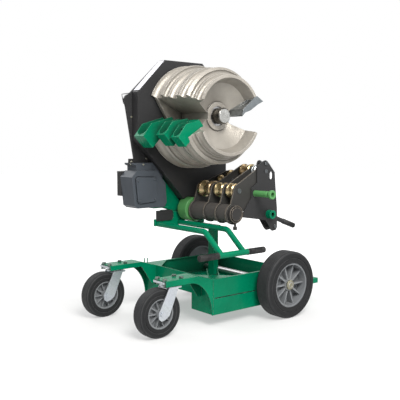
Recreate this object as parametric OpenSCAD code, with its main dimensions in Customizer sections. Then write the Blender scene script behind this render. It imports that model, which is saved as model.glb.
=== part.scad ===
// Electric conduit bender on a wheeled cart.
// Millimetres, +Z up. The origin is on the floor in the middle of the footprint.
// +X points to the rear axle's end of the cart, and the shoe faces -Y.

/* [Cart] */
// Radius of the two big wheels
wheel_r = 152.4; // [140:1:160]
// Width of a big wheel's tyre
wheel_w = 80; // [60:1:90]
// Width over the two big wheels
track_w = 723.4; // [700:1:760]
// Radius of the caster wheels
caster_r = 102.6; // [95:0.1:103]
// Width of a caster's tyre
caster_w = 57; // [45:1:62]
// Distance between the two casters' swivel axes
caster_track = 425.2; // [420:0.2:428]
// How far a caster's wheel trails its swivel axis
caster_trail = 63; // [50:1:64]
// Width of the tray
tray_w = 508.8; // [480:1:520]
// Height of the tray's rim
tray_top = 212; // [205:1:220]
// Height of the tray's floor
tray_floor = 127; // [110:1:140]
// Lower edge of the tray's skirts
skirt_z = 55; // [45:1:70]
// Thickness of the tray's sheet
sheet_t = 4; // [3:0.5:5]
// Side of the post across the cart
post_w = 40; // [36:1:44]
// Side of the post along the cart
post_d = 28; // [26:1:36]

/* [Head] */
// Height of the head's top edge
head_top = 1164; // [1150:1:1180]
// Front face of the black panel
panel_y = 63; // [60:0.5:66]
// Depth of the panel's folded edge
panel_depth = 48; // [44:1:50]
// Height of the tilt shaft
tilt_z = 455; // [452:1:460]
// How far the tilt shaft lies behind the cart's middle
tilt_y = 135; // [132:1:140]
// Radius of the handle's tubes
tube_r = 12.7; // [10:0.1:14]
// Distance between the handle's two tubes
tube_gap = 125; // [115:1:130]
// Length of the handle's cross bar
handle_bar = 363; // [340:1:370]

/* [Shoe] */
// Height of the shoe's axis
shoe_z = 910; // [906:1:916]
// Position of the shoe's axis along the cart
shoe_x = -38; // [-42:1:-34]
// Radius of the spindle
spindle_r = 35; // [33:0.5:37]
// Radius of the largest crest, at the back
shoe_back_r = 235; // [231:1:238]
// Radius of the smallest crest, at the front
shoe_front_r = 175; // [172:1:178]
// Width of the shoe from its back face to its front rim
shoe_w = 291; // [289:1:293]
// Teeth of the bull gear
bull_teeth = 60; // [60]
// Teeth of the pinion
pinion_teeth = 15; // [15]
// Gear module
gear_m = 6; // [6]

/* [Roller support] */
// Position of the support's shaft along the cart
drum_x = -32; // [-34:1:-30]
// Height of the support's shaft
drum_z = 483; // [481:1:485]
// Radius of the support's shaft
drum_shaft_r = 30; // [28:0.5:32]
// Radius of the support's hub tube
drum_r = 40.5; // [39:0.5:42]
// Thickness of the support's arm plates
arm_t = 8; // [6:0.5:9]
// Thickness of the two side plates
side_t = 6; // [5:0.5:7]
// Length of the black lever from its pivot
lever_len = 200; // [180:1:220]

/* [Hidden] */
$fn = 72;
green = [0.0, 0.48, 0.30];
bright_green = [0.25, 0.52, 0.27];
black = [0.11, 0.11, 0.115];
slate = [0.27, 0.30, 0.33];
zinc = [0.72, 0.76, 0.78];
steel = [0.55, 0.55, 0.55];
cast = [0.70, 0.66, 0.60];
gold = [0.72, 0.58, 0.30];
hub_grey = [0.50, 0.52, 0.55];
tyre_black = [0.16, 0.16, 0.165];
fit = 0.05;
cut = 1;

tray_front = -155;
tray_rear = 290.6;
wheel_x = 220;
axle_r = 12.7;
wheel_y = track_w / 2 - wheel_w / 2;
rim_r = 101;
caster_y = caster_track / 2;
swivel_x = -357;
caster_axle_x = swivel_x - caster_trail;
caster_rim_r = 63;
caster_bolt_r = 6;
fork_in = caster_w / 2 + 4;
fork_t = 5;
crown_z = 201;
race_r = 30;
arm_front = -404;
arm_top = 236;
arm_low = 211;
arm_in = caster_y - 42;
plate_top = arm_top - sheet_t;
plate_t = 8;
bolt_x = 42;
bolt_y = 25;

post_x = 60;
saddle_z = 393;
saddle_t = 12;
tilt_r = 15;
sleeve_r = 24;
beam_x0 = -160;
beam_x1 = 100;
ear_t = 12;
ear_r = 19;

panel_t = 8;
panel_wall = 6;
panel_back = panel_y + panel_depth;
back_t = 10;
head_outline = [[-173, head_top], [45, head_top], [195, head_top - 150], [195, 620], [75, 470], [-10, 470],
    [-305, 789], [-321, 808], [-321, head_top - 148]];
bearing_r = 54;
bearing_w = 22;
housing_r = 85;
housing_len = 55;

reducer_y0 = 75;
reducer_y1 = 170;
motor_x = -238;
motor_z = 606;
motor_r = 52;
motor_len = 66;

disc_r = 56;
disc_y0 = 24;
disc_y1 = 85;
frame_y = panel_back;
frame_t = 10;
shaft_end = frame_y - 1;
tube_x = -124.5;
tube_z = 418;
tube_far_y = frame_y - 7;
tube_bend_y = -238;
bend_r = 45;
bar_y = -345;
bar_z = 331;
grip_r = 16;
grip_len = 100;

shoe_y1 = panel_y - 5;
shoe_y0 = shoe_y1 - shoe_w;
crests = [[shoe_back_r, 0], [shoe_back_r - 2, 69], [shoe_back_r - 6.5, 78.5], [215.5, 104], [216.5, 160],
    [212.5, 178], [211, 227.5], [200, 236.5], [181.5, 252], [shoe_front_r, shoe_w]];
conduit_od = [60.3, 26.7, 48.3, 42.2, 21.3, 33.4];
crest_before = [0, 2, 3, 5, 7, 8];
lip = 13;
dish_r = shoe_front_r - 31;
dish_y = shoe_y0 + 52;
hub_r = 62;
hub_y = shoe_y0 + 87;
collar_r = 43;
collar_y = hub_y + 6;
collar_w = 10;
spindle_tip = shoe_y0 + 40;
web_t = 18;
right_gap = [[60, -10], [62, 14], [76, 21], [144, 59], [151, 90], [258, 155], [330, 0], [258, -120.3],
    [68, -31.7]];
left_gap = [[-56, 14], [-262, 116], [-330, 0], [-262, -141], [-56, -13]];
web_edge = [[-234.4, 140], [-400, 140], [-400, -170], [-38.5, -170]];
plate_w = 5;
gear_y = panel_y + panel_t + 8;
gear_w = 22;
gear_c = gear_m * (bull_teeth + pinion_teeth) / 2;
pinion_angle = 240;
pinion_x = shoe_x + gear_c * cos(pinion_angle);
pinion_z = shoe_z + gear_c * sin(pinion_angle);
pinion_bore = 14;

drum_y1 = 22;
drum_y0 = -246;
ring_r = drum_r + 6;
boss_r = drum_shaft_r + 3.5;
arm_ys = [6, -96, -177, -246];
left_x = -1;
left_z = 582;
left_boss = 30;
right_x = 158;
right_z1 = 636.5;
right_z2 = 664;
right_boss = 24;
mid_x = 97;
mid_z = 619;
left_pin_r = 10;
pin_r = 8;
front_side_y = arm_ys[3] - side_t;
rear_side_y = front_side_y + 38;
cross_x = 177;
cross_z = 469;
cross_r = 19.5;
lever_y = -230;
lever_r = 10.5;
lever_tilt = 20;
rod_x = 91;
rod_z = 568;
rod_r = 14;
side_right = [[147, 712], [156, 714.5], [165, 711], [180, 697], [214, 659], [220.5, 590],
    [231.5, 492], [233, 404],
    [224, 392], [203, 390], [190, 400], [162, 440]];
ear_top = [155, 700];
ear_low = [217, 410];

function crest(i) = [crests[i][0], shoe_y1 - crests[i][1]];
function groove_r(i) = conduit_od[i] / 2;
function groove_at(i) = (crest(crest_before[i]) + crest(crest_before[i] + 1)) / 2;
function turn(p, a) = p[0] * [cos(a), sin(a)] + p[1] * [-sin(a), cos(a)];
function channel(a, r0, r1, t0, t1, slope) = [for (p = [[r0, t0 + slope], [r0, t1], [r1, t1], [r1, t0],
    [r1 - 70, t0 - 8]]) turn(p, a)];
function cross2(a, b) = a[0] * b[1] - a[1] * b[0];
function edge_n(a, b) = let (d = (b - a) / norm(b - a)) [d[1], -d[0]];
function meet(p, d, q, e) = p + d * (cross2(q - p, e) / cross2(d, e));
function inset(P, t) = [for (i = [0 : len(P) - 1])
    let (a = P[(i + len(P) - 1) % len(P)], b = P[i], c = P[(i + 1) % len(P)])
    meet(b + edge_n(a, b) * t, b - a, b + edge_n(b, c) * t, c - b)];
function arch(cx, cz, a, b, n) = [for (i = [0 : n]) [cx + a * sin(90 * i / n), cz + b * cos(90 * i / n)]];

// A shape drawn in X and Z, given a thickness from y0 towards +Y
module slab(y0, t) {
    translate([0, y0 + t, 0])
        rotate([90, 0, 0])
            linear_extrude(t)
                children();
}

// A round bar along Y
module ybar(x, z, r, y0, y1) {
    translate([x, y0, z])
        rotate([-90, 0, 0])
            cylinder(r = r, h = y1 - y0);
}

// A round bar along X
module xbar(y, z, r, x0, x1) {
    translate([x0, y, z])
        rotate([0, 90, 0])
            cylinder(r = r, h = x1 - x0);
}

// A profile of radius and Y turned about an axis along Y
module turned(x, z, y = 0) {
    translate([x, y, z])
        rotate([-90, 0, 0])
            rotate_extrude()
                children();
}

module block(x0, x1, y0, y1, z0, z1) {
    translate([x0, y0, z0])
        cube([x1 - x0, y1 - y0, z1 - z0]);
}

module link(a, b, w) {
    d = b - a;
    n = [-d[1], d[0]] / norm(d) * w / 2;
    polygon([a + n, a - n, b - n, b + n]);
}

module mirrored_far(far) {
    mirror([0, far ? 1 : 0, 0])
        children();
}

module side_wall() {
    difference() {
        block(tray_front, tray_rear, -tray_w / 2, -tray_w / 2 + sheet_t, skirt_z, tray_top);
        ybar(wheel_x, wheel_r, axle_r, -tray_w / 2 - cut, -tray_w / 2 + sheet_t + cut);
        block(tray_front + 9, 93, -tray_w / 2 - cut, -tray_w / 2 + sheet_t / 2, tray_floor - 1, tray_floor + 3);
    }
}

module tray() {
    lip = 10;
    skirt_in = 150;
    gusset = 120;
    half = tray_w / 2;
    color(green) {
        for (far = [false, true])
            mirrored_far(far) {
                side_wall();
                block(tray_front, tray_front + sheet_t, -half + sheet_t, -half + skirt_in, skirt_z, tray_floor);
                translate([tray_front + sheet_t, -half + sheet_t, tray_top - sheet_t])
                    linear_extrude(sheet_t)
                        polygon([[0, 0], [gusset, 0], [0, gusset]]);
                block(tray_front + sheet_t, tray_rear - sheet_t, -half + sheet_t, -half + lip,
                    tray_top - sheet_t, tray_top);
            }
        block(tray_front + sheet_t, tray_rear - sheet_t, -half + sheet_t, half - sheet_t,
            tray_floor, tray_floor + sheet_t);
        block(tray_front, tray_front + sheet_t, -half + sheet_t, half - sheet_t, tray_floor, tray_top);
        block(tray_rear - sheet_t, tray_rear, -half + sheet_t, half - sheet_t, tray_floor - 40, tray_top);
    }
}

// One gooseneck arm, drawn on the near side
module arm() {
    half = tray_w / 2;
    arch_x = -280;
    slope_x = -236;
    roof = [[arm_front, arm_top], [slope_x, arm_top], [tray_front, tray_top], [tray_front, tray_top - sheet_t],
        [slope_x - 1, plate_top], [arm_front, plate_top]];
    slab(-half, sheet_t)
        polygon(concat([[arm_front, plate_top], [arm_front, arm_low]],
            arch(arch_x, skirt_z + 5, tray_front - 6 - arch_x, arm_low - skirt_z - 5, 16),
            [[tray_front - 6, skirt_z], [tray_front, skirt_z], [tray_front, tray_top - sheet_t],
            [slope_x - 1, plate_top]]));
    slab(-arm_in - sheet_t, sheet_t)
        polygon([[arm_front, plate_top], [arm_front, arm_low + 3], [slope_x, arm_low + 3], [-178, tray_floor],
            [tray_front, tray_floor], [tray_front, tray_top - sheet_t], [slope_x - 1, plate_top]]);
    difference() {
        slab(-half, half - arm_in)
            polygon(roof);
        for (sx = [-1, 1], sy = [-1, 1])
            translate([swivel_x + sx * bolt_x, -caster_y + sy * bolt_y, plate_top - cut])
                cylinder(r = caster_bolt_r, h = sheet_t + 2 * cut);
    }
}

module arm_near() {
    color(green)
        arm();
}

module arm_far() {
    color(green)
        mirrored_far(true)
            arm();
}

// Channel across the tray's near front corner
module brace() {
    run_a = [tray_front + 30, -tray_w / 2 + 30];
    run_b = [post_x - 56, -58];
    brace_w = 52;
    base_z = 176;
    wall_z = 207;
    d = run_b - run_a;
    reach = norm(d) + 20;
    color(green)
        translate([run_a[0], run_a[1], 0])
            rotate([0, 0, atan2(d[1], d[0])]) {
                block(0, reach, -brace_w / 2, brace_w / 2, base_z, base_z + sheet_t);
                for (s = [-1, 1])
                    translate([0, s * (brace_w / 2 - sheet_t / 2), 0])
                        block(0, reach, -sheet_t / 2, sheet_t / 2, base_z, wall_z);
                block(0, sheet_t, -brace_w / 2, brace_w / 2, tray_floor + sheet_t, base_z);
                block(norm(d) - sheet_t, norm(d), -brace_w / 2, brace_w / 2, tray_floor + sheet_t, base_z);
            }
}

module post() {
    wall = 4;
    foot = 100;
    foot_t = 8;
    floor_z = tray_floor + sheet_t;
    beam_y0 = tilt_y - 19.5;
    beam_y1 = tilt_y + 25;
    beam_z = saddle_z + saddle_t;
    color(green) {
        difference() {
            translate([post_x, 0, floor_z])
                linear_extrude(saddle_z - floor_z)
                    square([post_d, post_w], center = true);
            translate([post_x, 0, floor_z - cut])
                linear_extrude(saddle_z - floor_z)
                    square([post_d - 2 * wall, post_w - 2 * wall], center = true);
        }
        difference() {
            block(post_x - foot / 2, post_x + foot / 2, -foot / 2, foot / 2, floor_z, floor_z + foot_t);
            block(post_x - post_d / 2 + wall, post_x + post_d / 2 - wall, -post_w / 2 + wall, post_w / 2 - wall,
                floor_z - cut, floor_z + foot_t + cut);
        }
        block(post_x - 25, post_x + 25, -post_w / 2 - 4, beam_y1, saddle_z, beam_z);
        block(beam_x0, beam_x1, beam_y0, beam_y1, beam_z - cut, beam_z + 8);
        for (x = [beam_x0, beam_x1 - ear_t])
            difference() {
                union() {
                    block(x, x + ear_t, tilt_y - ear_r, tilt_y + ear_r, beam_z, tilt_z);
                    xbar(tilt_y, tilt_z, ear_r, x, x + ear_t);
                }
                xbar(tilt_y, tilt_z, tilt_r, x - cut, x + ear_t + cut);
            }
    }
}

module tilt_shaft() {
    color(steel)
        xbar(tilt_y, tilt_z, tilt_r, beam_x0 - 6, beam_x1 + 6);
}

// Square tube bar behind the rear wall
module rear_bar() {
    bar = 25;
    bar_end = 522.6;
    z0 = 105;
    half = tray_w / 2;
    color(green) {
        for (s = [-1, 1])
            translate([0, s * (half - bar / 2), 0])
                block(tray_rear, bar_end - bar, -bar / 2, bar / 2, z0, z0 + bar);
        block(bar_end - bar, bar_end, -half, half, z0, z0 + bar);
    }
}

module axle() {
    sleeve_len = wheel_y - wheel_w / 2 - tray_w / 2 - 1;
    color(steel) {
        ybar(wheel_x, wheel_r, axle_r, -track_w / 2 + 12, track_w / 2 - 12);
        for (far = [false, true])
            mirrored_far(far)
                ybar(wheel_x, wheel_r, 20, -tray_w / 2 - sleeve_len, -tray_w / 2);
    }
}

module axle_caps() {
    color(zinc)
        for (far = [false, true])
            mirrored_far(far)
                turned(wheel_x, wheel_r)
                    polygon([[axle_r, -track_w / 2 + 15], [22, -track_w / 2 + 15], [22, -track_w / 2 + 9],
                        [17, -track_w / 2 + 6], [0, -track_w / 2 + 6], [0, -track_w / 2 + 12],
                        [axle_r, -track_w / 2 + 12]]);
}

// Tyre with rounded shoulders and a groove inside its sidewall
module tyre(r, w, bead_r) {
    edge = 14;
    difference() {
        union() {
            square_ring(bead_r, r - edge, -w / 2, w / 2);
            square_ring(bead_r, r, -w / 2 + edge, w / 2 - edge);
            for (s = [-1, 1])
                translate([r - edge, s * (w / 2 - edge)])
                    circle(r = edge);
        }
        for (s = [-1, 1])
            translate([(r + bead_r) / 2 - 4, s * w / 2])
                circle(r = 3);
    }
}

module square_ring(r0, r1, y0, y1) {
    translate([r0, y0])
        square([r1 - r0, y1 - y0]);
}

module tyre_near() {
    color(tyre_black)
        turned(wheel_x, wheel_r, -wheel_y)
            tyre(wheel_r, wheel_w, rim_r);
}

module tyre_far() {
    color(tyre_black)
        turned(wheel_x, wheel_r, wheel_y)
            tyre(wheel_r, wheel_w, rim_r);
}

// Moulded hub: rim, dished web, spokes on the outer side and a long bore
module wheel_hub() {
    spokes = 10;
    rim_in = rim_r - 8;
    web = 8;
    boss = 27;
    difference() {
        union() {
            turned(0, 0)
                square_ring(rim_in, rim_r, -wheel_w / 2 + 4, wheel_w / 2 - 4);
            turned(0, 0)
                polygon([[axle_r, -2], [rim_in + 1, 12], [rim_in + 1, 12 + web], [axle_r, web]]);
            turned(0, 0)
                square_ring(axle_r, boss, -wheel_w / 2 + 16, wheel_w / 2 - 1);
            for (i = [0 : spokes - 1])
                rotate([0, i * 360 / spokes, 0])
                    slab(-wheel_w / 2 + 20, 36)
                        polygon([[boss - 2, -4], [rim_in + 1, -3], [rim_in + 1, 3], [boss - 2, 4]]);
        }
        ybar(0, 0, axle_r + fit, -wheel_w, wheel_w);
    }
}

module hub_near() {
    color(hub_grey)
        translate([wheel_x, -wheel_y, wheel_r])
            wheel_hub();
}

module hub_far() {
    color(hub_grey)
        translate([wheel_x, wheel_y, wheel_r])
            mirror([0, 1, 0])
                wheel_hub();
}

module caster_plates() {
    plate_x = 112;
    plate_y = 72;
    color(zinc)
        for (s = [-1, 1])
            translate([swivel_x, s * caster_y, 0])
                difference() {
                    union() {
                        block(-plate_x / 2, plate_x / 2, -plate_y / 2, plate_y / 2,
                            plate_top - plate_t, plate_top);
                        translate([0, 0, crown_z + 7.5])
                            cylinder(r = race_r, h = plate_top - plate_t - crown_z - 7.5);
                    }
                    translate([0, 0, crown_z])
                        cylinder(r = pin_r + fit, h = plate_top - plate_t - crown_z);
                    for (sx = [-1, 1], sy = [-1, 1])
                        translate([sx * bolt_x, sy * bolt_y, plate_top - plate_t - cut])
                            cylinder(r = caster_bolt_r, h = plate_t + 2 * cut);
                }
}

module caster_bolts() {
    color(zinc)
        for (s = [-1, 1], sx = [-1, 1], sy = [-1, 1])
            translate([swivel_x + sx * bolt_x, s * caster_y + sy * bolt_y, 0]) {
                translate([0, 0, plate_top - plate_t - 10])
                    cylinder(r = caster_bolt_r, h = arm_top + 3 - plate_top + plate_t + 10);
                translate([0, 0, arm_top])
                    cylinder(r = 10, h = 8, $fn = 6);
            }
}

// Bolt that carries the caster's wheel, in the frame of the swivel axis
module caster_axle() {
    end = fork_in + fork_t;
    ybar(-caster_trail, caster_r, caster_bolt_r, -end - 2, end + 2);
    for (s = [-1, 1])
        translate([-caster_trail, s * (end + 3), caster_r])
            rotate([90, 0, 0])
                cylinder(r = 10, h = 7, center = true, $fn = 6);
}

// Fork in the frame of its swivel axis
module fork() {
    crown_t = 7;
    leg = [[-26, crown_z + crown_t], [22, crown_z + crown_t], [-27, 92], [-48, 78], [-66, 74],
        [-79, 84], [-81, 108]];
    for (s = [-1, 1])
        translate([0, s * (fork_in + fork_t / 2) - fork_t / 2, 0])
            slab(0, fork_t)
                polygon(leg);
    block(-26, 34, -fork_in - fork_t, fork_in + fork_t, crown_z, crown_z + crown_t);
    translate([0, 0, crown_z])
        cylinder(r = pin_r, h = plate_top - plate_t - 4 - crown_z);
    caster_axle();
}

module fork_near() {
    color(zinc)
        translate([swivel_x, -caster_y, 0])
            fork();
}

module fork_far() {
    color(zinc)
        translate([swivel_x, caster_y, 0])
            fork();
}

module caster_tyre_near() {
    color(tyre_black)
        turned(caster_axle_x, caster_r, -caster_y)
            tyre(caster_r, caster_w, caster_rim_r);
}

module caster_tyre_far() {
    color(tyre_black)
        turned(caster_axle_x, caster_r, caster_y)
            tyre(caster_r, caster_w, caster_rim_r);
}

module caster_rim() {
    spokes = 10;
    rim_in = caster_rim_r - 6;
    boss = 20;
    difference() {
        union() {
            turned(0, 0)
                square_ring(rim_in, caster_rim_r, -caster_w / 2 + 2, caster_w / 2 - 2);
            turned(0, 0)
                square_ring(caster_bolt_r, rim_in + 1, -4, 4);
            turned(0, 0)
                square_ring(caster_bolt_r, boss, -caster_w / 2 - 2, caster_w / 2 + 2);
            for (i = [0 : spokes - 1])
                rotate([0, i * 360 / spokes, 0])
                    slab(-caster_w / 2 + 9, caster_w - 18)
                        polygon([[boss - 2, -2.5], [rim_in + 1, -2], [rim_in + 1, 2], [boss - 2, 2.5]]);
        }
        ybar(0, 0, caster_bolt_r + fit, -caster_w, caster_w);
    }
}

module caster_rim_near() {
    color(hub_grey)
        translate([caster_axle_x, -caster_y, caster_r])
            caster_rim();
}

module caster_rim_far() {
    color(hub_grey)
        translate([caster_axle_x, caster_y, caster_r])
            caster_rim();
}

// Black octagonal pan of the head, open towards the back plate
module panel() {
    color(black)
        difference() {
            slab(panel_y, panel_depth)
                polygon(head_outline);
            slab(panel_y + panel_t, panel_depth)
                polygon(inset(head_outline, panel_wall));
            ybar(shoe_x, shoe_z, bearing_r, panel_y - cut, panel_y + panel_t + cut);
            ybar(drum_x, drum_z, disc_r + 3, panel_y - cut, panel_back + cut);
        }
}

module back_plate() {
    lug = [[-333, 1010], [-352, 1001], [-362, 986], [-352, 950]];
    color(black)
        difference() {
            slab(panel_back, back_t)
                polygon(concat([[-173, head_top - 4], [45, head_top - 4], [191, head_top - 150], [191, 622],
                    [73, 476], [-10, 476], [-214, 703], [-308, 703]], [for (i = [3 : -1 : 0]) lug[i]]));
            ybar(shoe_x, shoe_z, bearing_r, panel_back - cut, panel_back + back_t + cut);
            ybar(drum_x, drum_z, boss_r + 3, panel_back - cut, panel_back + back_t + cut);
            ybar(pinion_x, pinion_z, pinion_bore + fit, panel_back - cut, panel_back + back_t + cut);
        }
}

// Round housing for the rear spindle bearing
module bearing_housing() {
    color(black)
        difference() {
            turned(shoe_x, shoe_z)
                polygon([[0, panel_back + back_t], [housing_r, panel_back + back_t],
                    [housing_r, panel_back + back_t + 14], [housing_r - 20, panel_back + back_t + housing_len],
                    [0, panel_back + back_t + housing_len]]);
            ybar(shoe_x, shoe_z, bearing_r, panel_back, panel_back + back_t + housing_len - 10);
        }
}

module spindle_bearings() {
    color(steel)
        for (y = [panel_y, panel_back + back_t + 18])
            turned(shoe_x, shoe_z)
                square_ring(spindle_r + fit, bearing_r, y, y + (y == panel_y ? panel_t : bearing_w));
}

module reducer() {
    body = [[-348, 640], [-322, 668], [-212, 668], [-164, 606], [-158, 520],
        [-170, 500], [-318, 500], [-334, 512]];
    neck_y0 = 84;
    neck_y1 = 158;
    color(slate)
        difference() {
            union() {
                slab(reducer_y0, reducer_y1 - reducer_y0)
                    polygon(body);
                slab(neck_y0, neck_y1 - neck_y0)
                    polygon([[-318, 660], [-318, 690], [-332, 696], [-332, 703], [-228, 703], [-228, 696],
                        [-238, 690], [-238, 660]]);
                slab(panel_back, 40)
                    polygon([[-300, 690], [-300, 703], [-236, 703], [-236, 690]]);
            }
            slab(reducer_y0 - cut, 5)
                polygon([[-332, 634], [-322, 644], [-226, 640], [-214, 628], [-214, 534], [-224, 524],
                    [-312, 518], [-322, 528]]);
        }
}

module reducer_cover() {
    color(slate)
        slab(reducer_y0 - 6, 10)
            polygon([[-329, 632], [-320, 641], [-228, 637], [-217, 626], [-217, 536], [-226, 527],
                [-310, 521], [-319, 530]]);
}

module motor_flange() {
    color(black)
        block(-344, -180, reducer_y1, reducer_y1 + 34, 552, 664);
}

module motor() {
    ribs = 16;
    y0 = reducer_y1 + 34;
    color(black) {
        ybar(motor_x, motor_z, motor_r, y0, y0 + motor_len);
        for (i = [0 : ribs - 1])
            translate([motor_x, 0, motor_z])
                rotate([0, i * 360 / ribs, 0])
                    block(motor_r - 2, motor_r + 5, y0 + 8, y0 + motor_len - 14, -2, 2);
    }
}

// Green weldment that joins the head to the tilt shaft and carries the roller support
module tilt_frame() {
    x0 = beam_x0 + ear_t + 3;
    x1 = beam_x1 - ear_t - 3;
    plate_y = frame_y + back_t;
    left = -154;
    tie_x = tube_gap / 2 + 18;
    color(green)
        difference() {
            union() {
                slab(plate_y, frame_t)
                    polygon([[left, 490], [left, 640], [-30, 640], [60, 560], [60, 500], [-20, 436], [-98, 436],
                        [-110, 478]]);
                slab(frame_y, back_t)
                    polygon([[left, 490], [left, 600], [-182, 645], [-168, 645], [-18, 474],
                        [-18, 440], [-98, 436],
                        [-110, 478]]);
                block(tube_x - tie_x, tube_x + tie_x, tube_far_y, tube_far_y + 10, tube_z - 10, tube_z + 22);
                block(-98, -30, tube_far_y, plate_y, tube_z, 470);
                block(-225, -140, frame_y - 26, plate_y + frame_t, 494, 500);
                xbar(tilt_y, tilt_z, sleeve_r, x0, x1);
                for (x = [-100, -20])
                    block(x, x + 10, plate_y, tilt_y + 16, tilt_z + 8, 560);
                ybar(drum_x, drum_z, boss_r, disc_y1, plate_y + frame_t);
            }
            xbar(tilt_y, tilt_z, tilt_r + fit, x0 - cut, x1 + cut);
            ybar(drum_x, drum_z, drum_shaft_r, disc_y1 - cut, shaft_end);
        }
}

module cross_plate() {
    color(black)
        slab(tube_far_y - 6, 6)
            polygon([[tube_x - tube_gap / 2 - 12, tube_z + 14], [tube_x - tube_gap / 2 - 12, 480],
                [-108, 480], [-108, tube_z + 14]]);
}

module hub_disc() {
    color(bright_green)
        difference() {
            turned(drum_x, drum_z)
                polygon([[0, disc_y0], [disc_r - 3, disc_y0], [disc_r, disc_y0 + 3], [disc_r, disc_y1],
                    [0, disc_y1]]);
            ybar(drum_x, drum_z, drum_shaft_r, disc_y0 - cut, disc_y1 + cut);
        }
}

// One bent tube of the handle: straight run, bend and sloping leg
module handle_tube(x) {
    leg_r = tube_r - 0.5;
    leg_angle = atan2(tube_z - bar_z, tube_bend_y - bar_y);
    bend_y = tube_bend_y + bend_r * tan(leg_angle / 2);
    leg_y = tube_bend_y - bend_r * tan(leg_angle / 2) * cos(leg_angle);
    leg_z = tube_z - bend_r * tan(leg_angle / 2) * sin(leg_angle);
    leg_len = norm([leg_y - bar_y, leg_z - bar_z]) + 2;
    ybar(x, tube_z, leg_r, bend_y - 1, tube_far_y);
    translate([x, bend_y, tube_z - bend_r])
        rotate([0, -90, 0])
            rotate_extrude(angle = -leg_angle)
                translate([bend_r, 0])
                    circle(r = leg_r + 0.3);
    translate([x, leg_y, leg_z])
        rotate([90 + leg_angle, 0, 0])
            translate([0, 0, -1])
                cylinder(r = leg_r, h = leg_len);
}

module handle_frame() {
    color(green) {
        for (s = [-1, 1])
            handle_tube(tube_x + s * tube_gap / 2);
        xbar(bar_y, bar_z, tube_r, tube_x - handle_bar / 2 + 2, tube_x + handle_bar / 2 - 2);
    }
}

module handle_grips() {
    color(black)
        for (s = [0, 1])
            translate([tube_x, 0, 0])
                mirror([s, 0, 0])
                    difference() {
                        xbar(bar_y, bar_z, grip_r, handle_bar / 2 - grip_len, handle_bar / 2);
                        xbar(bar_y, bar_z, tube_r, handle_bar / 2 - grip_len - cut, handle_bar / 2 - 2);
                    }
}

module drum_shaft() {
    color(steel)
        ybar(drum_x, drum_z, drum_shaft_r, drum_y0 - 21, shaft_end);
}

// Collar that keeps the hub tube on its shaft, with a clamp knob below
module drum_collar() {
    y0 = drum_y0 - 17;
    y1 = drum_y0 - 1;
    color(black) {
        difference() {
            ybar(drum_x, drum_z, drum_r - 2.5, y0, y1);
            ybar(drum_x, drum_z, drum_shaft_r, y0 - cut, y1 + cut);
        }
        translate([drum_x, (y0 + y1) / 2, drum_z - drum_r - 16])
            cylinder(r = 5, h = 23);
        translate([drum_x, (y0 + y1) / 2, drum_z - drum_r - 28])
            cylinder(r = 9, h = 14);
    }
}

// Half section of the shoe in radius and Y: grooved rim, dished front and hub
module shoe_section() {
    slot_w = 4;
    slot_d = 7;
    difference() {
        polygon(concat([[spindle_r, shoe_y1]], [for (i = [0 : len(crests) - 1]) crest(i)],
            [[shoe_front_r - lip, shoe_y0], [dish_r, dish_y], [hub_r, hub_y + 8],
                [hub_r, hub_y], [collar_r, hub_y],
            [collar_r, collar_y + collar_w], [spindle_r, collar_y + collar_w]]));
        for (i = [0 : len(conduit_od) - 1])
            translate(groove_at(i))
                circle(r = groove_r(i));
        translate([crest(4)[0] - slot_d, crest(4)[1] - 10])
            square([slot_d * 2, slot_w]);
    }
}

// Grooved bending shoe with an open gap on each side; a web closes part of the left gap at the back
module shoe_body() {
    difference() {
        turned(shoe_x, shoe_z)
            shoe_section();
        translate([shoe_x, 0, shoe_z]) {
            slab(shoe_y0 - cut, shoe_w + 2 * cut)
                polygon(right_gap);
            slab(shoe_y0 - cut, shoe_w - web_t + cut)
                polygon(left_gap);
            slab(shoe_y0 - cut, shoe_w + 2 * cut)
                intersection() {
                    polygon(left_gap);
                    polygon(web_edge);
                }
        }
    }
}

module shoe() {
    color(cast)
        shoe_body();
}

module spindle() {
    color(steel)
        turned(shoe_x, shoe_z)
            polygon([[0, spindle_tip], [spindle_r - 5, spindle_tip], [spindle_r, spindle_tip + 5],
                [spindle_r, panel_back + back_t + housing_len - 12],
                [0, panel_back + back_t + housing_len - 12]]);
}

module spindle_collar() {
    color(steel)
        difference() {
            ybar(shoe_x, shoe_z, collar_r, collar_y, collar_y + collar_w);
            ybar(shoe_x, shoe_z, spindle_r, collar_y - cut, collar_y + collar_w + cut);
        }
}

// Bent plate round the place of conduit i, open towards the axis: side outline, half width and channel
module stirrup(i, outline, seat, angle) {
    r = groove_r(i) + 0.5;
    y = groove_at(i)[1];
    difference() {
        translate([shoe_x, 0, shoe_z])
            slab(y - r - plate_w, 2 * (r + plate_w))
                polygon(outline);
        translate([shoe_x, y, shoe_z])
            rotate([0, -angle, 0]) {
                translate([seat, 0, -shoe_back_r])
                    cylinder(r = r, h = 2 * shoe_back_r);
                block(hub_r, seat, -r + 0.1, r - 0.1, -shoe_back_r, shoe_back_r);
            }
    }
}

// Stepped hook for the three large conduits, seated on the lower lobe's left end
module green_hook() {
    angle = 225;
    base = [[-104, -46], [-170, -88], [-190, -56], [-128, -18]];
    color(green)
        difference() {
            union() {
                stirrup(0, channel(angle, 112, 280, -155, -84, 48), 240, angle);
                stirrup(2, channel(angle, 106, 243, -127, -58, 38), 213, angle);
                stirrup(3, channel(angle, 104, 236, -104, -46, 30), 209, angle);
                translate([shoe_x, 0, shoe_z])
                    slab(groove_at(3)[1] - groove_r(3) - plate_w,
                        shoe_y1 - groove_at(3)[1] + groove_r(3) + plate_w)
                        polygon(base);
            }
            shoe_body();
        }
}

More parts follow.
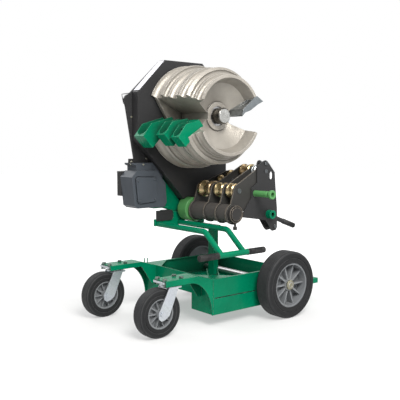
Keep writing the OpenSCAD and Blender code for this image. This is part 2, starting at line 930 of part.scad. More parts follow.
// Plain steel hook for the three small conduits, under the upper lobe's right end
module steel_hook() {
    angle = 25;
    outline = [[63, -2], [81, 14.6], [113, 25.4], [158.5, 53.4], [191, 68], [153.5, 89.6], [140, 85], [70, 30]];
    bar = [[63, -2], [81, 14.6], [113, 25.4], [146, 46], [146, 85], [70, 30]];
    y0 = groove_at(5)[1] - groove_r(5) - 1;
    color(zinc)
        difference() {
            union() {
                stirrup(5, outline, 178, angle);
                stirrup(4, outline * 1.06, 191, angle);
                stirrup(1, outline * 1.2, 222, angle);
                translate([shoe_x, 0, shoe_z])
                    slab(y0, groove_at(1)[1] + groove_r(1) - y0)
                        polygon(bar);
            }
            shoe_body();
        }
}

// Straight-flanked gear outline that starts with a tooth on the +X axis
module gear_outline(teeth, m) {
    r = teeth * m / 2;
    tip = r + 0.75 * m;
    root = r - 1.05 * m;
    pitch = 360 / teeth;
    polygon([for (i = [0 : teeth - 1], k = [[root, -0.32], [tip, -0.13], [tip, 0.13], [root, 0.32]])
        k[0] * [cos((i + k[1]) * pitch), sin((i + k[1]) * pitch)]]);
}

module bull_gear() {
    color(steel)
        translate([shoe_x, 0, shoe_z])
            difference() {
                slab(gear_y, gear_w)
                    rotate(pinion_angle)
                        gear_outline(bull_teeth, gear_m);
                ybar(0, 0, spindle_r, gear_y - cut, gear_y + gear_w + cut);
                for (a = [0 : 60 : 300])
                    ybar(110 * cos(a), 110 * sin(a), 32, gear_y - cut, gear_y + gear_w + cut);
            }
}

module pinion() {
    color(steel)
        translate([pinion_x, 0, pinion_z]) {
            slab(gear_y, gear_w)
                rotate(pinion_angle + 180 + 180 / pinion_teeth)
                    gear_outline(pinion_teeth, gear_m);
            ybar(0, 0, pinion_bore, gear_y, panel_back + back_t + 6);
        }
}

module drum() {
    color(black)
        difference() {
            ybar(drum_x, drum_z, drum_r, drum_y0, drum_y1);
            ybar(drum_x, drum_z, drum_shaft_r + fit, drum_y0 - cut, drum_y1 + cut);
        }
}

// Outline of an arm plate: hub ring, left boss, right end and the web between them
module arm_outline(end_z) {
    hub = [drum_x, drum_z];
    left = [left_x, left_z];
    right = [right_x, end_z];
    translate(hub)
        circle(r = ring_r);
    link(hub, left, 2 * left_boss - 2);
    translate(left)
        circle(r = left_boss);
    link(left, right, 2 * right_boss - 0.5);
    translate(right)
        circle(r = right_boss);
    polygon([hub, [30, 492], [78, 550], [118, end_z - 44], right, left]);
}

// Deeper upper edge of the front arm plate, up to the front side plate
module front_web() {
    polygon([[left_x - 14.3, left_z + 26.3], [108, 676], [130, 680], [right_x, right_z2], [left_x, left_z]]);
}

module arm_plates() {
    pins = [[[right_x, right_z1], [mid_x, mid_z]], [[right_x, right_z1], [right_x, right_z2], [mid_x, mid_z]],
        [[right_x, right_z2]], [[right_x, right_z2]]];
    ends = [[right_z1], [right_z1, right_z2], [right_z2], [right_z2]];
    color(black)
        for (i = [0 : len(arm_ys) - 1])
            difference() {
                slab(arm_ys[i], arm_t)
                    union() {
                        for (z = ends[i])
                            arm_outline(z);
                        if (i == 3)
                            front_web();
                    }
                ybar(drum_x, drum_z, drum_r, arm_ys[i] - cut, arm_ys[i] + arm_t + cut);
                ybar(left_x, left_z, left_pin_r, arm_ys[i] - cut, arm_ys[i] + arm_t + cut);
                for (p = pins[i])
                    ybar(p[0], p[1], pin_r, arm_ys[i] - cut, arm_ys[i] + arm_t + cut);
            }
}

module side_slot() {
    link([192, 637], [192, 653], 19.9);
    for (p = [[192, 637], [192, 653]])
        translate(p)
            circle(r = 10);
}

module side_plate_front() {
    y0 = front_side_y;
    y1 = front_side_y + side_t;
    color(black)
        difference() {
            slab(y0, side_t)
                polygon(concat([[103, 690]], side_right, [[140, 446], [18, 465], [23, 488], [69, 548.5],
                    [69, 592], [103, 614]]));
            slab(y0 - cut, side_t + 2 * cut)
                side_slot();
            ybar(right_x, right_z2, pin_r, y0 - cut, y1 + cut);
            ybar(cross_x, cross_z, cross_r + fit, y0 - cut, y1 + cut);
            for (p = [ear_top, ear_low])
                ybar(p[0], p[1], 5, y0 - cut, y1 + cut);
        }
}

module side_plate_rear() {
    color(black)
        difference() {
            slab(rear_side_y, side_t)
                difference() {
                    polygon(concat([[140, 700]], side_right, [[150, 462], [142, 520]]));
                    side_slot();
                }
            ybar(cross_x, cross_z, cross_r + fit, rear_side_y - cut, rear_side_y + side_t + cut);
            ybar(right_x, right_z2, pin_r, rear_side_y - cut, rear_side_y + side_t + cut);
            for (p = [ear_top, ear_low])
                ybar(p[0], p[1], 5, rear_side_y - cut, rear_side_y + side_t + cut);
        }
}

// Bolts with spacer tubes that hold the two side plates apart
module spacers() {
    color(zinc)
        for (p = [ear_top, ear_low]) {
            ybar(p[0], p[1], 9, front_side_y + side_t, rear_side_y);
            ybar(p[0], p[1], 5, front_side_y - 1, rear_side_y + side_t + 1);
            ybar(p[0], p[1], 8, front_side_y - 5, front_side_y);
            ybar(p[0], p[1], 8, rear_side_y + side_t, rear_side_y + side_t + 5);
        }
}

module roller_axles() {
    color(zinc) {
        ybar(left_x, left_z, left_pin_r, arm_ys[3] - 3, arm_ys[0] + arm_t);
        ybar(right_x, right_z1, pin_r, arm_ys[1] - 3, arm_ys[0] + arm_t);
        ybar(right_x, right_z2, pin_r, front_side_y - 3, arm_ys[1] + arm_t);
        ybar(mid_x, mid_z, pin_r, arm_ys[1] - 3, arm_ys[0] + arm_t);
    }
}

// Grooved roller with two flanges, from y0 to y1
module roller(x, z, pin, r, y0, y1) {
    mid = (y0 + y1) / 2;
    w = (y1 - y0) / 2;
    groove = w * 0.78;
    difference() {
        turned(x, z)
            difference() {
                polygon([[0, y0], [r - 4, y0], [r, y0 + 4], [r, y1 - 4], [r - 4, y1], [0, y1]]);
                translate([r + groove * 0.66, mid])
                    circle(r = groove);
            }
        ybar(x, z, pin + fit, y0 - cut, y1 + cut);
    }
}

module roller_left() {
    color(gold)
        roller(left_x, left_z, left_pin_r, 38, arm_ys[1] + arm_t + 4, arm_ys[0] - 4);
}

module roller_left_mid() {
    color(gold)
        roller(left_x, left_z, left_pin_r, 33, arm_ys[2] + arm_t + 4, arm_ys[1] - 12);
}

module roller_left_front() {
    color(gold)
        roller(left_x, left_z, left_pin_r, 33, arm_ys[3] + arm_t + 4, arm_ys[2] - 12);
}

module roller_small() {
    color(gold)
        roller(mid_x, mid_z, pin_r, 22, arm_ys[1] + arm_t + 4, -3);
}

module roller_right() {
    color(gold)
        roller(right_x, right_z1, pin_r, 28, arm_ys[1] + arm_t + 4, -4);
}

module roller_right_mid() {
    color(gold)
        roller(right_x, right_z2, pin_r, 31, arm_ys[2] + arm_t + 4, arm_ys[1] - 5);
}

module roller_right_front() {
    color(zinc)
        roller(right_x, right_z2, pin_r, 28, rear_side_y + side_t + 3, arm_ys[2] - 4);
}

// Hand rod that sticks out of the front side plate, flared at its open end
module hand_rod() {
    end = -track_w / 2;
    color(bright_green)
        turned(rod_x, rod_z)
            polygon([[0, front_side_y], [rod_r, front_side_y], [rod_r, end + 30], [rod_r - 2, end + 26],
                [19.5, end + 10], [19.5, end], [10, end], [10, end + 60], [0, end + 60]]);
}

// Green cross tube through both side plates
module cross_tube() {
    y0 = front_side_y - 28;
    y1 = -150;
    color(green)
        difference() {
            ybar(cross_x, cross_z, cross_r, y0, y1);
            ybar(cross_x, cross_z, 10, y0 - cut, y1 + cut);
        }
}

// Lever with its collar on the cross tube, between the side plates
module lever() {
    collar_w = 26;
    color(black)
        difference() {
            union() {
                ybar(cross_x, cross_z, cross_r + 6, lever_y - collar_w / 2, lever_y + collar_w / 2);
                translate([cross_x, lever_y, cross_z])
                    rotate([0, 90 + lever_tilt, 0])
                        cylinder(r = lever_r, h = lever_len);
            }
            ybar(cross_x, cross_z, cross_r, lever_y - collar_w, lever_y + collar_w);
        }
}

tray();
arm_near();
arm_far();
brace();
post();
tilt_shaft();
rear_bar();
axle();
axle_caps();
caster_plates();
caster_bolts();
tyre_near();
hub_near();
tyre_far();
hub_far();
fork_near();
caster_tyre_near();
caster_rim_near();
fork_far();
caster_tyre_far();
caster_rim_far();
panel();
back_plate();
bearing_housing();
spindle_bearings();
reducer();
reducer_cover();
motor_flange();
motor();
tilt_frame();
cross_plate();
hub_disc();
handle_frame();
handle_grips();
drum_shaft();
drum_collar();
shoe();
spindle();
spindle_collar();
green_hook();
steel_hook();
bull_gear();
pinion();
drum();
arm_plates();
side_plate_front();
side_plate_rear();
spacers();
roller_axles();
roller_left();
roller_left_mid();
roller_left_front();
roller_small();
roller_right();
roller_right_mid();
roller_right_front();
hand_rod();
cross_tube();
lever();
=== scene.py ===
"""Finishes, small fittings and studio of an electric conduit bender on a wheeled cart."""
import math

import bmesh
import bpy
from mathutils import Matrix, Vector


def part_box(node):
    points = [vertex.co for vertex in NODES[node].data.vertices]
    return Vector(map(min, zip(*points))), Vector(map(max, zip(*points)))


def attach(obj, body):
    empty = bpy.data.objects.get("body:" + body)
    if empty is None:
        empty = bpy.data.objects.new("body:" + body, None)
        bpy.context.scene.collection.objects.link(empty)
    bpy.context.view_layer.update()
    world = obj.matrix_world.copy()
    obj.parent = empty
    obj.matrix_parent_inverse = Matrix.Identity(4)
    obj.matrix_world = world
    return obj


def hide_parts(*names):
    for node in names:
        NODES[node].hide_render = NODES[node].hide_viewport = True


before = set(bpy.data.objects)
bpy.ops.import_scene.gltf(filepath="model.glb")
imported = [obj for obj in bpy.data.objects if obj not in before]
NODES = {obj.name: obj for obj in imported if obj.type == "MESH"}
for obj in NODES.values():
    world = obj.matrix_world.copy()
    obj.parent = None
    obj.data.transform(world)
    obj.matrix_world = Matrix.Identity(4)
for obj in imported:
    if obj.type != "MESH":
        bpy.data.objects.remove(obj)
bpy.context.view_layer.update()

bl_info = {
    "name": "Conduit Bender",
    "version": (1, 0, 0),
    "blender": (4, 5, 0),
    "location": "View3D > Sidebar > Bender",
    "description": "Dresses the packed conduit bender with finishes, fittings and a studio",
    "category": "Object",
}

MM = 0.001

# Directions: the head faces -y, and the photograph's camera looks along BACKDROP
FRONT = (0.0, -1.0, 0.0)
BACK = (0.0, 1.0, 0.0)
ALONG = (1.0, 0.0, 0.0)
UP = (0.0, 0.0, 1.0)
BACKDROP = (0.632, 0.775, 0.0)

# Places of the fittings in millimetres, as x and z on a face that looks along y
BACK_BOLTS = ((-168, 1142), (-64, 1142), (40, 1142), (177, 1006), (177, 880), (177, 750), (177, 632),
              (-220, 720), (-300, 720), (-316, 820), (-330, 920))
COVER_SCREWS = ((-318, 622), (-229, 627), (-228, 538), (-309, 532))
RIM_BOLTS = ((-323, 907), (-246, 722))
NECK_BOLT = (-280, 696)
NECK_FACE = 84.0
FLANGE_INSET = 10.0
SHOULDER = ((-240, 664), (-240, 692), (-228, 697), (-206, 694), (-176, 662), (-166, 630), (-212, 668))
SHOULDER_DEPTH = (90.0, 150.0)
CLAMP = ((-336, 722), (-306, 722), (-306, 704), (-322, 704), (-324, 692), (-335, 692), (-337, 704))
CLAMP_DEPTH = (109.0, 123.0)
CLAMP_BOLTS = ((-328, 709), (-329, 697))
BAIL = ((-334, 1006), (-327, 1013), (-374, 1005), (-366.5, 966), (-352, 963))
BAIL_STAND = 1.6

# The post's foot: middle of its plate, reach of its bolts, top of the plate, and the post's half sizes
FOOT_X = 60.0
FOOT_REACH = 42.0
FOOT_TOP = 139.0
POST_HALF = (14.0, 20.0)

# Weld seams: the arms' on the tray's front, the rear bar's on its back, and the handle's slanted rings
ARM_SEAM = (62.0, 206.0)
ARM_INNER_SEAM = (130.0, 206.0)
ARM_INSIDE = 174.6
BAR_HALF = 12.5
BAR_TOP_REACH = 12.0
BAR_TOP = 130.0
BAR_SIDE_SEAM = (106.0, 129.0)
RING_X = (-187.0, -62.0)
RING_MIDDLE = (-338.5, 338.0)
RING_HALF = (12.6, 9.5, 8.0)
BEAD_LIFT = 0.3

# Pegs on the far arm: x, y, foot and tip
PEGS = ((-166.0, 250.0, 213.0, 236.0), (-165.0, 226.0, 213.0, 241.0))

# The lever at rest: its pivot in metres and its fall towards the right
LEVER_PIVOT = (0.177, -0.230, 0.469)
LEVER_FALL = 20.0

# Studio: name, place, size, power and colour of each lamp
LAMPS = (
    ("key", (-1.2, -2.8, 3.0), 1.8, 190.0, (1.0, 0.985, 0.96)),
    ("top", (0.3, -0.5, 3.6), 2.4, 25.0, (1.0, 1.0, 1.0)),
    ("fill", (2.8, -2.4, 2.0), 2.6, 30.0, (0.96, 0.98, 1.0)),
    ("rim", (-1.2, 2.6, 2.8), 2.0, 45.0, (1.0, 1.0, 1.0)),
)
LAMP_AIM = (0.0, 0.0, 0.6)
FLOOR_RADIUS = 14.0
DIM = 0.42
FAR_DIM = 0.17
CAMERA_PLACE = (-1.9139, -2.3230, 0.7922)
CAMERA_LOOK = (0.629, 0.772, -0.088)
CAMERA_LENS = 58.1


def swatch(name, text, value):
    """A colour property with its default."""
    return bpy.props.FloatVectorProperty(
        name=name, description=text, default=value, size=3, min=0.0, max=1.0, subtype="COLOR")


def length(name, text, value):
    """A length property in metres, with its default in millimetres."""
    return bpy.props.FloatProperty(
        name=name, description=text, default=value * MM, min=0.0, subtype="DISTANCE", unit="LENGTH")


class BenderColours(bpy.types.PropertyGroup):
    """Colours of the bender's finishes."""
    green: swatch("Green", "Powder coat of the cart and the frames", (0.0, 0.165, 0.080))
    light_green: swatch("Light green", "Paint of the disc and the hand rod", (0.083, 0.258, 0.085))
    black: swatch("Black", "Powder coat of the head and the support", (0.027, 0.027, 0.028))
    slate: swatch("Slate", "Paint of the gear reducer", (0.056, 0.065, 0.077))
    casting: swatch("Casting", "Pale coated surface of the bending shoe", (0.365, 0.338, 0.297))
    zinc: swatch("Zinc", "Bright plated steel", (0.60, 0.64, 0.66))
    yellow_zinc: swatch("Yellow zinc", "Yellow plated rollers", (0.55, 0.43, 0.23))
    steel: swatch("Steel", "Bare ground steel", (0.52, 0.52, 0.53))
    hub: swatch("Hub", "Moulded wheel hubs", (0.18, 0.19, 0.20))
    rubber: swatch("Rubber", "Tyres", (0.031, 0.032, 0.034))
    grip: swatch("Grip", "Handle grips", (0.009, 0.009, 0.0095))
    strip: swatch("Strip", "Bare pale strip on the head's edge", (0.72, 0.72, 0.78))
    floor: swatch("Floor", "Studio floor", (0.42, 0.42, 0.42))


class BenderSizes(bpy.types.PropertyGroup):
    """Sizes of the small fittings."""
    bolt: length("Bolt", "Radius of the head's bolt heads", 6.0)
    screw: length("Screw", "Radius of the cover's screw heads", 4.0)
    small_bolt: length("Small bolt", "Radius of the small bolts on the back plate's rim", 3.4)
    lever_grip: length("Lever grip", "Radius of the lever's sleeve", 12.3)
    bead: length("Bead", "Width of a weld bead", 4.2)
    bead_pitch: length("Bead pitch", "Distance between two ripples of a weld", 2.4)
    grip: length("Grip", "Radius of the handle's grips", 13.4)
    grip_length: length("Grip length", "Length of a grip", 100.0)
    rib: length("Rib", "Wire radius of a grip's rib", 0.8)
    rib_pitch: length("Rib pitch", "Distance between two ribs of a grip", 5.5)
    wire: length("Wire", "Radius of the wire bail at the head's corner", 1.6)
    clip: length("Clip", "Wire radius of the axle clips", 1.3)


def colours():
    return bpy.context.scene.bender_colours


def sizes():
    return bpy.context.scene.bender_sizes


class Shader:
    """Short way to build a material's nodes."""

    def __init__(self, name):
        self.material = bpy.data.materials.new(name)
        self.material.use_nodes = True
        self.tree = self.material.node_tree
        self.tree.nodes.clear()
        self.out = self.add("ShaderNodeOutputMaterial")
        self.bsdf = self.add("ShaderNodeBsdfPrincipled")
        self.join(self.bsdf, "BSDF", self.out, "Surface")
        self.coords = self.add("ShaderNodeTexCoord")

    def add(self, kind, **values):
        node = self.tree.nodes.new(kind)
        for key, value in values.items():
            setattr(node, key, value)
        return node

    def join(self, a, out, b, socket):
        self.tree.links.new(a.outputs[out], b.inputs[socket])

    def noise(self, scale, detail=3.0, rough=0.55, stretch=None):
        """Noise on the piece's own coordinates, stretched along its axes where asked."""
        node = self.add("ShaderNodeTexNoise")
        node.inputs["Scale"].default_value = scale
        node.inputs["Detail"].default_value = detail
        node.inputs["Roughness"].default_value = rough
        if stretch:
            mapping = self.add("ShaderNodeMapping")
            mapping.inputs["Scale"].default_value = stretch
            self.join(self.coords, "Object", mapping, "Vector")
            self.join(mapping, "Vector", node, "Vector")
        else:
            self.join(self.coords, "Object", node, "Vector")
        return node

    def cells(self, scale):
        node = self.add("ShaderNodeTexVoronoi", feature="F1")
        node.inputs["Scale"].default_value = scale
        self.join(self.coords, "Object", node, "Vector")
        return node

    def spread(self, node, out, low, high, a=0.0, b=1.0):
        """Maps a node's value from low..high to a..b."""
        ramp = self.add("ShaderNodeMapRange")
        for key, value in (("From Min", low), ("From Max", high), ("To Min", a), ("To Max", b)):
            ramp.inputs[key].default_value = value
        self.join(node, out, ramp, "Value")
        return ramp

    def tint(self, factor, out, first, second):
        """Mixes two colours by a factor, each a colour or a (node, output) pair."""
        mix = self.add("ShaderNodeMix", data_type="RGBA")
        self.tree.links.new(factor.outputs[out], mix.inputs[0])
        for index, value in ((6, first), (7, second)):
            if isinstance(value, tuple) and hasattr(value[0], "outputs"):
                self.tree.links.new(value[0].outputs[value[1]], mix.inputs[index])
            else:
                mix.inputs[index].default_value = (*value, 1.0)
        return mix, 2

    def edges(self, radius, low=0.02, high=0.25):
        """Mask that is one along sharp edges, and the softened normal it comes from."""
        bevel = self.add("ShaderNodeBevel", samples=6)
        bevel.inputs["Radius"].default_value = radius
        geometry = self.add("ShaderNodeNewGeometry")
        dot = self.add("ShaderNodeVectorMath", operation="DOT_PRODUCT")
        self.join(bevel, "Normal", dot, 0)
        self.join(geometry, "True Normal", dot, 1)
        return bevel, self.spread(dot, "Value", 1.0 - low, 1.0 - high)

    def thin_sides(self):
        """Mask of the thin sides of a plate that faces along y."""
        apart = self.add("ShaderNodeSeparateXYZ")
        self.join(self.coords, "Normal", apart, "Vector")
        size = self.add("ShaderNodeMath", operation="ABSOLUTE")
        self.join(apart, "Y", size, 0)
        return self.spread(size, "Value", 0.8, 0.5)

    def nook(self, reach, open_part, shut_part, most):
        """Mask that grows to most where the piece's own faces close a spot in, used for painted shade."""
        node = self.add("ShaderNodeAmbientOcclusion", samples=8, only_local=True)
        node.inputs["Distance"].default_value = reach
        return self.spread(node, "AO", open_part, shut_part, 0.0, most)

    def bump(self, height, out, strength, distance, normal=None):
        node = self.add("ShaderNodeBump")
        node.inputs["Strength"].default_value = strength
        node.inputs["Distance"].default_value = distance
        self.join(height, out, node, "Height")
        if normal:
            self.join(normal, "Normal", node, "Normal")
        return node

    def set(self, socket, value):
        self.bsdf.inputs[socket].default_value = value

    def colour(self, node, out):
        self.tree.links.new(node.outputs[out], self.bsdf.inputs["Base Color"])


def shade(colour, factor):
    """The colour made darker or lighter."""
    return tuple(min(1.0, c * factor) for c in colour)


def blend_to(colour, other, part):
    """The colour moved part of the way to another."""
    return tuple(a + (b - a) * part for a, b in zip(colour, other))


def powder_coat(name, colour, rough, orange_peel=0.12, wear=0.35, gleam=0.22, painted_shade=0.0, side_tone=None):
    """Sprayed coat: faint mottling, orange peel, lighter worn edges that also paint the edges' highlights,
    and painted shade in recesses.
    """
    s = Shader(name)
    cloud = s.spread(s.noise(7.0, 4.0), "Fac", 0.3, 0.7)
    base = s.tint(cloud, "Result", shade(colour, 0.88), shade(colour, 1.12))
    # Painted shade: the coat darkens where the piece's own faces close in, such as inside the tray and in
    # its corners
    if painted_shade:
        shade_tone = blend_to(shade(colour, 0.25), (0.02, 0.02, 0.02), 0.5)
        base = s.tint(s.nook(0.16, 0.86, 0.45, painted_shade), "Result", base, shade_tone)
    if side_tone:
        base = s.tint(s.thin_sides(), "Result", base, side_tone)
    # Edges lightened in chipped patches: worn paint, and also a painted highlight along the edges
    bevel, rim = s.edges(0.0022)
    chips = s.spread(s.noise(90.0, 5.0, 0.7), "Fac", 0.42, 0.62, 0.0, wear)
    mask = s.add("ShaderNodeMath", operation="MULTIPLY")
    s.join(rim, "Result", mask, 0)
    s.join(chips, "Result", mask, 1)
    base = s.tint(mask, "Value", base, blend_to(colour, (0.75, 0.75, 0.72), 0.45))
    s.colour(*base)
    gloss = s.spread(s.noise(23.0, 5.0, 0.65), "Fac", 0.3, 0.72, rough - 0.07, rough + 0.10)
    s.join(gloss, "Result", s.bsdf, "Roughness")
    peel = s.noise(900.0, 2.0)
    s.join(s.bump(peel, "Fac", orange_peel, 0.0004, bevel), "Normal", s.bsdf, "Normal")
    s.set("Specular IOR Level", gleam)
    return s.material


def cast_coat(name, colour):
    """Pebbled cast skin under a pale metallic coat, with rubbed crests that also paint the edges'
    highlights, dark pits, and painted shade in the grooves and hollows.
    """
    s = Shader(name)
    patch = s.spread(s.noise(11.0, 5.0, 0.6), "Fac", 0.32, 0.70)
    base = s.tint(patch, "Result", shade(colour, 0.86), shade(colour, 1.07))
    grain = s.noise(620.0, 3.0, 0.7)
    pits = s.spread(grain, "Fac", 0.60, 0.74)
    base = s.tint(pits, "Result", base, shade(colour, 0.62))
    # Painted shade: the grooves and hollows darken where the shoe's own faces close in
    base = s.tint(s.nook(0.03, 0.78, 0.40, 0.8), "Result", base, shade(colour, 0.22))
    bevel, rim = s.edges(0.0016)
    # Edges lightened towards a pale tone: rubbed metal on the crests, and also a painted highlight along
    # every edge
    base = s.tint(rim, "Result", base, blend_to(colour, (0.92, 0.90, 0.86), 0.7))
    s.colour(*base)
    rough = s.spread(s.noise(34.0, 4.0), "Fac", 0.3, 0.7, 0.34, 0.50)
    s.join(rough, "Result", s.bsdf, "Roughness")
    pebbles = s.bump(s.noise(125.0, 2.0, 0.55), "Fac", 0.45, 0.002, bevel)
    s.join(s.bump(grain, "Fac", 0.22, 0.0005, pebbles), "Normal", s.bsdf, "Normal")
    s.set("Metallic", 0.4)
    return s.material


def plated(name, colour, rough, shift, cell=140.0, brushed=(1.0, 1.0, 1.0)):
    """Plated steel: small spangles of tone, faint colour drift and fine drawn lines."""
    s = Shader(name)
    tone = s.spread(s.cells(cell), "Distance", 0.0, 0.9)
    base = s.tint(tone, "Result", shade(colour, 1.08), shade(colour, 0.84))
    drift = s.spread(s.noise(17.0, 3.0), "Fac", 0.38, 0.66, 0.0, 0.55)
    base = s.tint(drift, "Result", base, shift)
    bevel, rim = s.edges(0.0012)
    base = s.tint(rim, "Result", base, blend_to(colour, (0.95, 0.95, 0.95), 0.5))
    s.colour(*base)
    lines = s.noise(420.0, 3.0, 0.6, brushed)
    gloss = s.spread(lines, "Fac", 0.25, 0.75, rough - 0.06, rough + 0.12)
    s.join(gloss, "Result", s.bsdf, "Roughness")
    s.join(s.bump(lines, "Fac", 0.06, 0.0003, bevel), "Normal", s.bsdf, "Normal")
    s.set("Metallic", 0.92)
    return s.material


def turned_steel(name, bright, dark, end):
    """Turned shaft: bright face at the given depth, a side painted dark as a painted reflection of the dark
    parts round it, fine turning rings.
    """
    s = Shader(name)
    apart = s.add("ShaderNodeSeparateXYZ")
    s.join(s.coords, "Object", apart, "Vector")
    # Painted reflection: past the end face the shaft takes the dark colour, for the dark head it reflects
    side = s.spread(apart, "Y", end + 0.0006, end + 0.0022)
    mottle = s.spread(s.noise(60.0, 4.0, 0.7), "Fac", 0.35, 0.65)
    face = s.tint(mottle, "Result", shade(bright, 0.8), shade(bright, 1.1))
    s.colour(*s.tint(side, "Result", face, dark))
    bevel, _ = s.edges(0.0012)
    rings = s.noise(500.0, 2.0, 0.5, (0.2, 1.0, 0.2))
    s.join(s.spread(rings, "Fac", 0.3, 0.7, 0.2, 0.34), "Result", s.bsdf, "Roughness")
    s.join(s.bump(rings, "Fac", 0.08, 0.0003, bevel), "Normal", s.bsdf, "Normal")
    s.set("Metallic", 0.9)
    return s.material


def moulded(name, colour, rough, grain=1400.0, depth=0.1):
    """Moulded plastic or rubber with a fine grain, scuffs and a little dust."""
    s = Shader(name)
    dust = s.spread(s.noise(13.0, 6.0, 0.7), "Fac", 0.45, 0.75, 0.0, 0.5)
    base = s.tint(dust, "Result", colour, blend_to(colour, (0.36, 0.35, 0.33), 0.28))
    bevel, rim = s.edges(0.0018)
    base = s.tint(rim, "Result", base, blend_to(colour, (0.5, 0.5, 0.5), 0.16))
    s.colour(*base)
    scuff = s.spread(s.noise(55.0, 4.0, 0.7), "Fac", 0.35, 0.7, rough - 0.06, rough + 0.1)
    s.join(scuff, "Result", s.bsdf, "Roughness")
    s.join(s.bump(s.noise(grain, 2.0), "Fac", depth, 0.0004, bevel), "Normal", s.bsdf, "Normal")
    s.set("Specular IOR Level", 0.2)
    return s.material


def ribbed_rubber(name, colour, centre, half_width):
    """Tyre rubber with fine rings moulded round the wheel's centre, on the walls and on the tread, with
    painted shade in the rings' grooves.
    """
    s = Shader(name)
    middle = s.add("ShaderNodeMapping")
    middle.inputs["Location"].default_value = tuple(-v for v in centre)
    s.join(s.coords, "Object", middle, "Vector")
    flat = s.add("ShaderNodeVectorMath", operation="MULTIPLY")
    flat.inputs[1].default_value = (1.0, 0.0, 1.0)
    s.join(middle, "Vector", flat, 0)
    reach = s.add("ShaderNodeVectorMath", operation="LENGTH")
    s.join(flat, "Vector", reach, 0)
    across = s.add("ShaderNodeSeparateXYZ")
    s.join(middle, "Vector", across, 0)
    rings = []
    for node, out, pitch in ((reach, "Value", 0.0052), (across, "Y", half_width / 5)):
        wave = s.add("ShaderNodeMath", operation="PINGPONG")
        wave.inputs[1].default_value = pitch / 2
        s.join(node, out, wave, 0)
        rings.append(s.spread(wave, "Value", pitch * 0.06, pitch * 0.16))
    both = s.add("ShaderNodeMath", operation="MULTIPLY")
    for index, ring in enumerate(rings):
        s.join(ring, "Result", both, index)
    dust = s.spread(s.noise(13.0, 6.0, 0.7), "Fac", 0.45, 0.75, 0.0, 0.5)
    base = s.tint(dust, "Result", colour, blend_to(colour, (0.36, 0.35, 0.33), 0.16))
    # Painted shade: the rings' grooves take half the rubber's colour
    base = s.tint(both, "Value", shade(colour, 0.5), base)
    s.colour(*base)
    scuff = s.spread(s.noise(55.0, 4.0, 0.7), "Fac", 0.35, 0.7, 0.56, 0.72)
    s.join(scuff, "Result", s.bsdf, "Roughness")
    grain = s.bump(s.noise(800.0, 2.0), "Fac", 0.2, 0.0004)
    s.join(s.bump(both, "Value", 0.5, 0.0012, grain), "Normal", s.bsdf, "Normal")
    s.set("Specular IOR Level", 0.2)
    return s.material


def finish(name):
    """The named finish, made once."""
    found = bpy.data.materials.get(name)
    if found:
        return found
    c = colours()
    makers = {
        # The green coat's painted shade darkens the tray's inside and other recesses
        "green coat": (powder_coat, c.green, dict(rough=0.24, wear=0.6, gleam=0.09, painted_shade=0.72)),
        "light green coat": (powder_coat, c.light_green, dict(rough=0.34)),
        "black coat": (powder_coat, c.black, dict(rough=0.42, orange_peel=0.2, wear=0.18)),
        "slate coat": (powder_coat, c.slate, dict(rough=0.40, orange_peel=0.16, wear=0.25)),
        "worn hub": (powder_coat, (0.066, 0.061, 0.057), dict(rough=0.5, orange_peel=0.3, wear=0.6)),
        "worn plate": (powder_coat, (0.030, 0.029, 0.028), dict(rough=0.45, orange_peel=0.25, wear=0.9)),
        "worn arm": (powder_coat, (0.034, 0.033, 0.031),
                     dict(rough=0.45, orange_peel=0.25, wear=0.9, side_tone=(0.115, 0.098, 0.080))),
        "shoe casting": (cast_coat, c.casting, {}),
        "bright zinc": (plated, c.zinc, dict(rough=0.30, shift=(0.58, 0.60, 0.68))),
        "yellow zinc": (plated, c.yellow_zinc,
                        dict(rough=0.22, shift=(0.50, 0.31, 0.19), cell=90.0, brushed=(1.0, 9.0, 1.0))),
        # Zinc painted dark green-grey: a painted reflection of the green cart round the caster bolts
        "weathered zinc": (plated, (0.20, 0.25, 0.225),
                           dict(rough=0.36, shift=(0.13, 0.2, 0.16), cell=110.0)),
        "dull zinc": (plated, (0.34, 0.33, 0.25), dict(rough=0.4, shift=(0.30, 0.27, 0.17), cell=110.0)),
        "ground steel": (plated, c.steel,
                         dict(rough=0.32, shift=(0.46, 0.45, 0.44), cell=60.0, brushed=(1.0, 0.1, 1.0))),
        "hook steel": (plated, (0.235, 0.255, 0.265),
                       dict(rough=0.38, shift=(0.18, 0.2, 0.21), cell=70.0, brushed=(1.0, 6.0, 1.0))),
        "dark steel": (plated, (0.13, 0.14, 0.145),
                       dict(rough=0.42, shift=(0.1, 0.11, 0.12), cell=70.0, brushed=(1.0, 1.0, 6.0))),
        "rubbed rim": (plated, (0.20, 0.165, 0.13), dict(rough=0.5, shift=(0.13, 0.11, 0.09), cell=90.0)),
        # The spindle's dark side colour is a painted reflection
        "spindle steel": (turned_steel, (0.40, 0.395, 0.375),
                          dict(dark=(0.075, 0.07, 0.062), end=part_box("spindle")[0][1])),
        # Near-black finish of the painted shadow in the skirt's seam
        "seam filler": (moulded, (0.004, 0.005, 0.005), dict(rough=0.7)),
        "hub plastic": (moulded, c.hub, dict(rough=0.42)),
        "grip rubber": (moulded, c.grip, dict(rough=0.55, grain=1000.0, depth=0.2)),
        "black plastic": (moulded, (0.02, 0.02, 0.021), dict(rough=0.38)),
        "pale strip": (moulded, c.strip, dict(rough=0.45, grain=1600.0, depth=0.05)),
    }
    maker, colour, numbers = makers[name]
    return maker(name, tuple(colour), **numbers)


def dress(material, *names):
    """Gives CAD nodes a finish through their own material slots."""
    for name in names:
        node = NODES[name]
        if not node.material_slots:
            node.data.materials.append(material)
        for slot in node.material_slots:
            slot.material = material


def box_mm(name):
    """Lower and upper corner of a node's box, in millimetres."""
    return [tuple(value / MM for value in corner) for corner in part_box(name)]


def middle(name):
    """Middle of a node's box in metres."""
    low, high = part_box(name)
    return Vector((a + b) / 2 for a, b in zip(low, high))


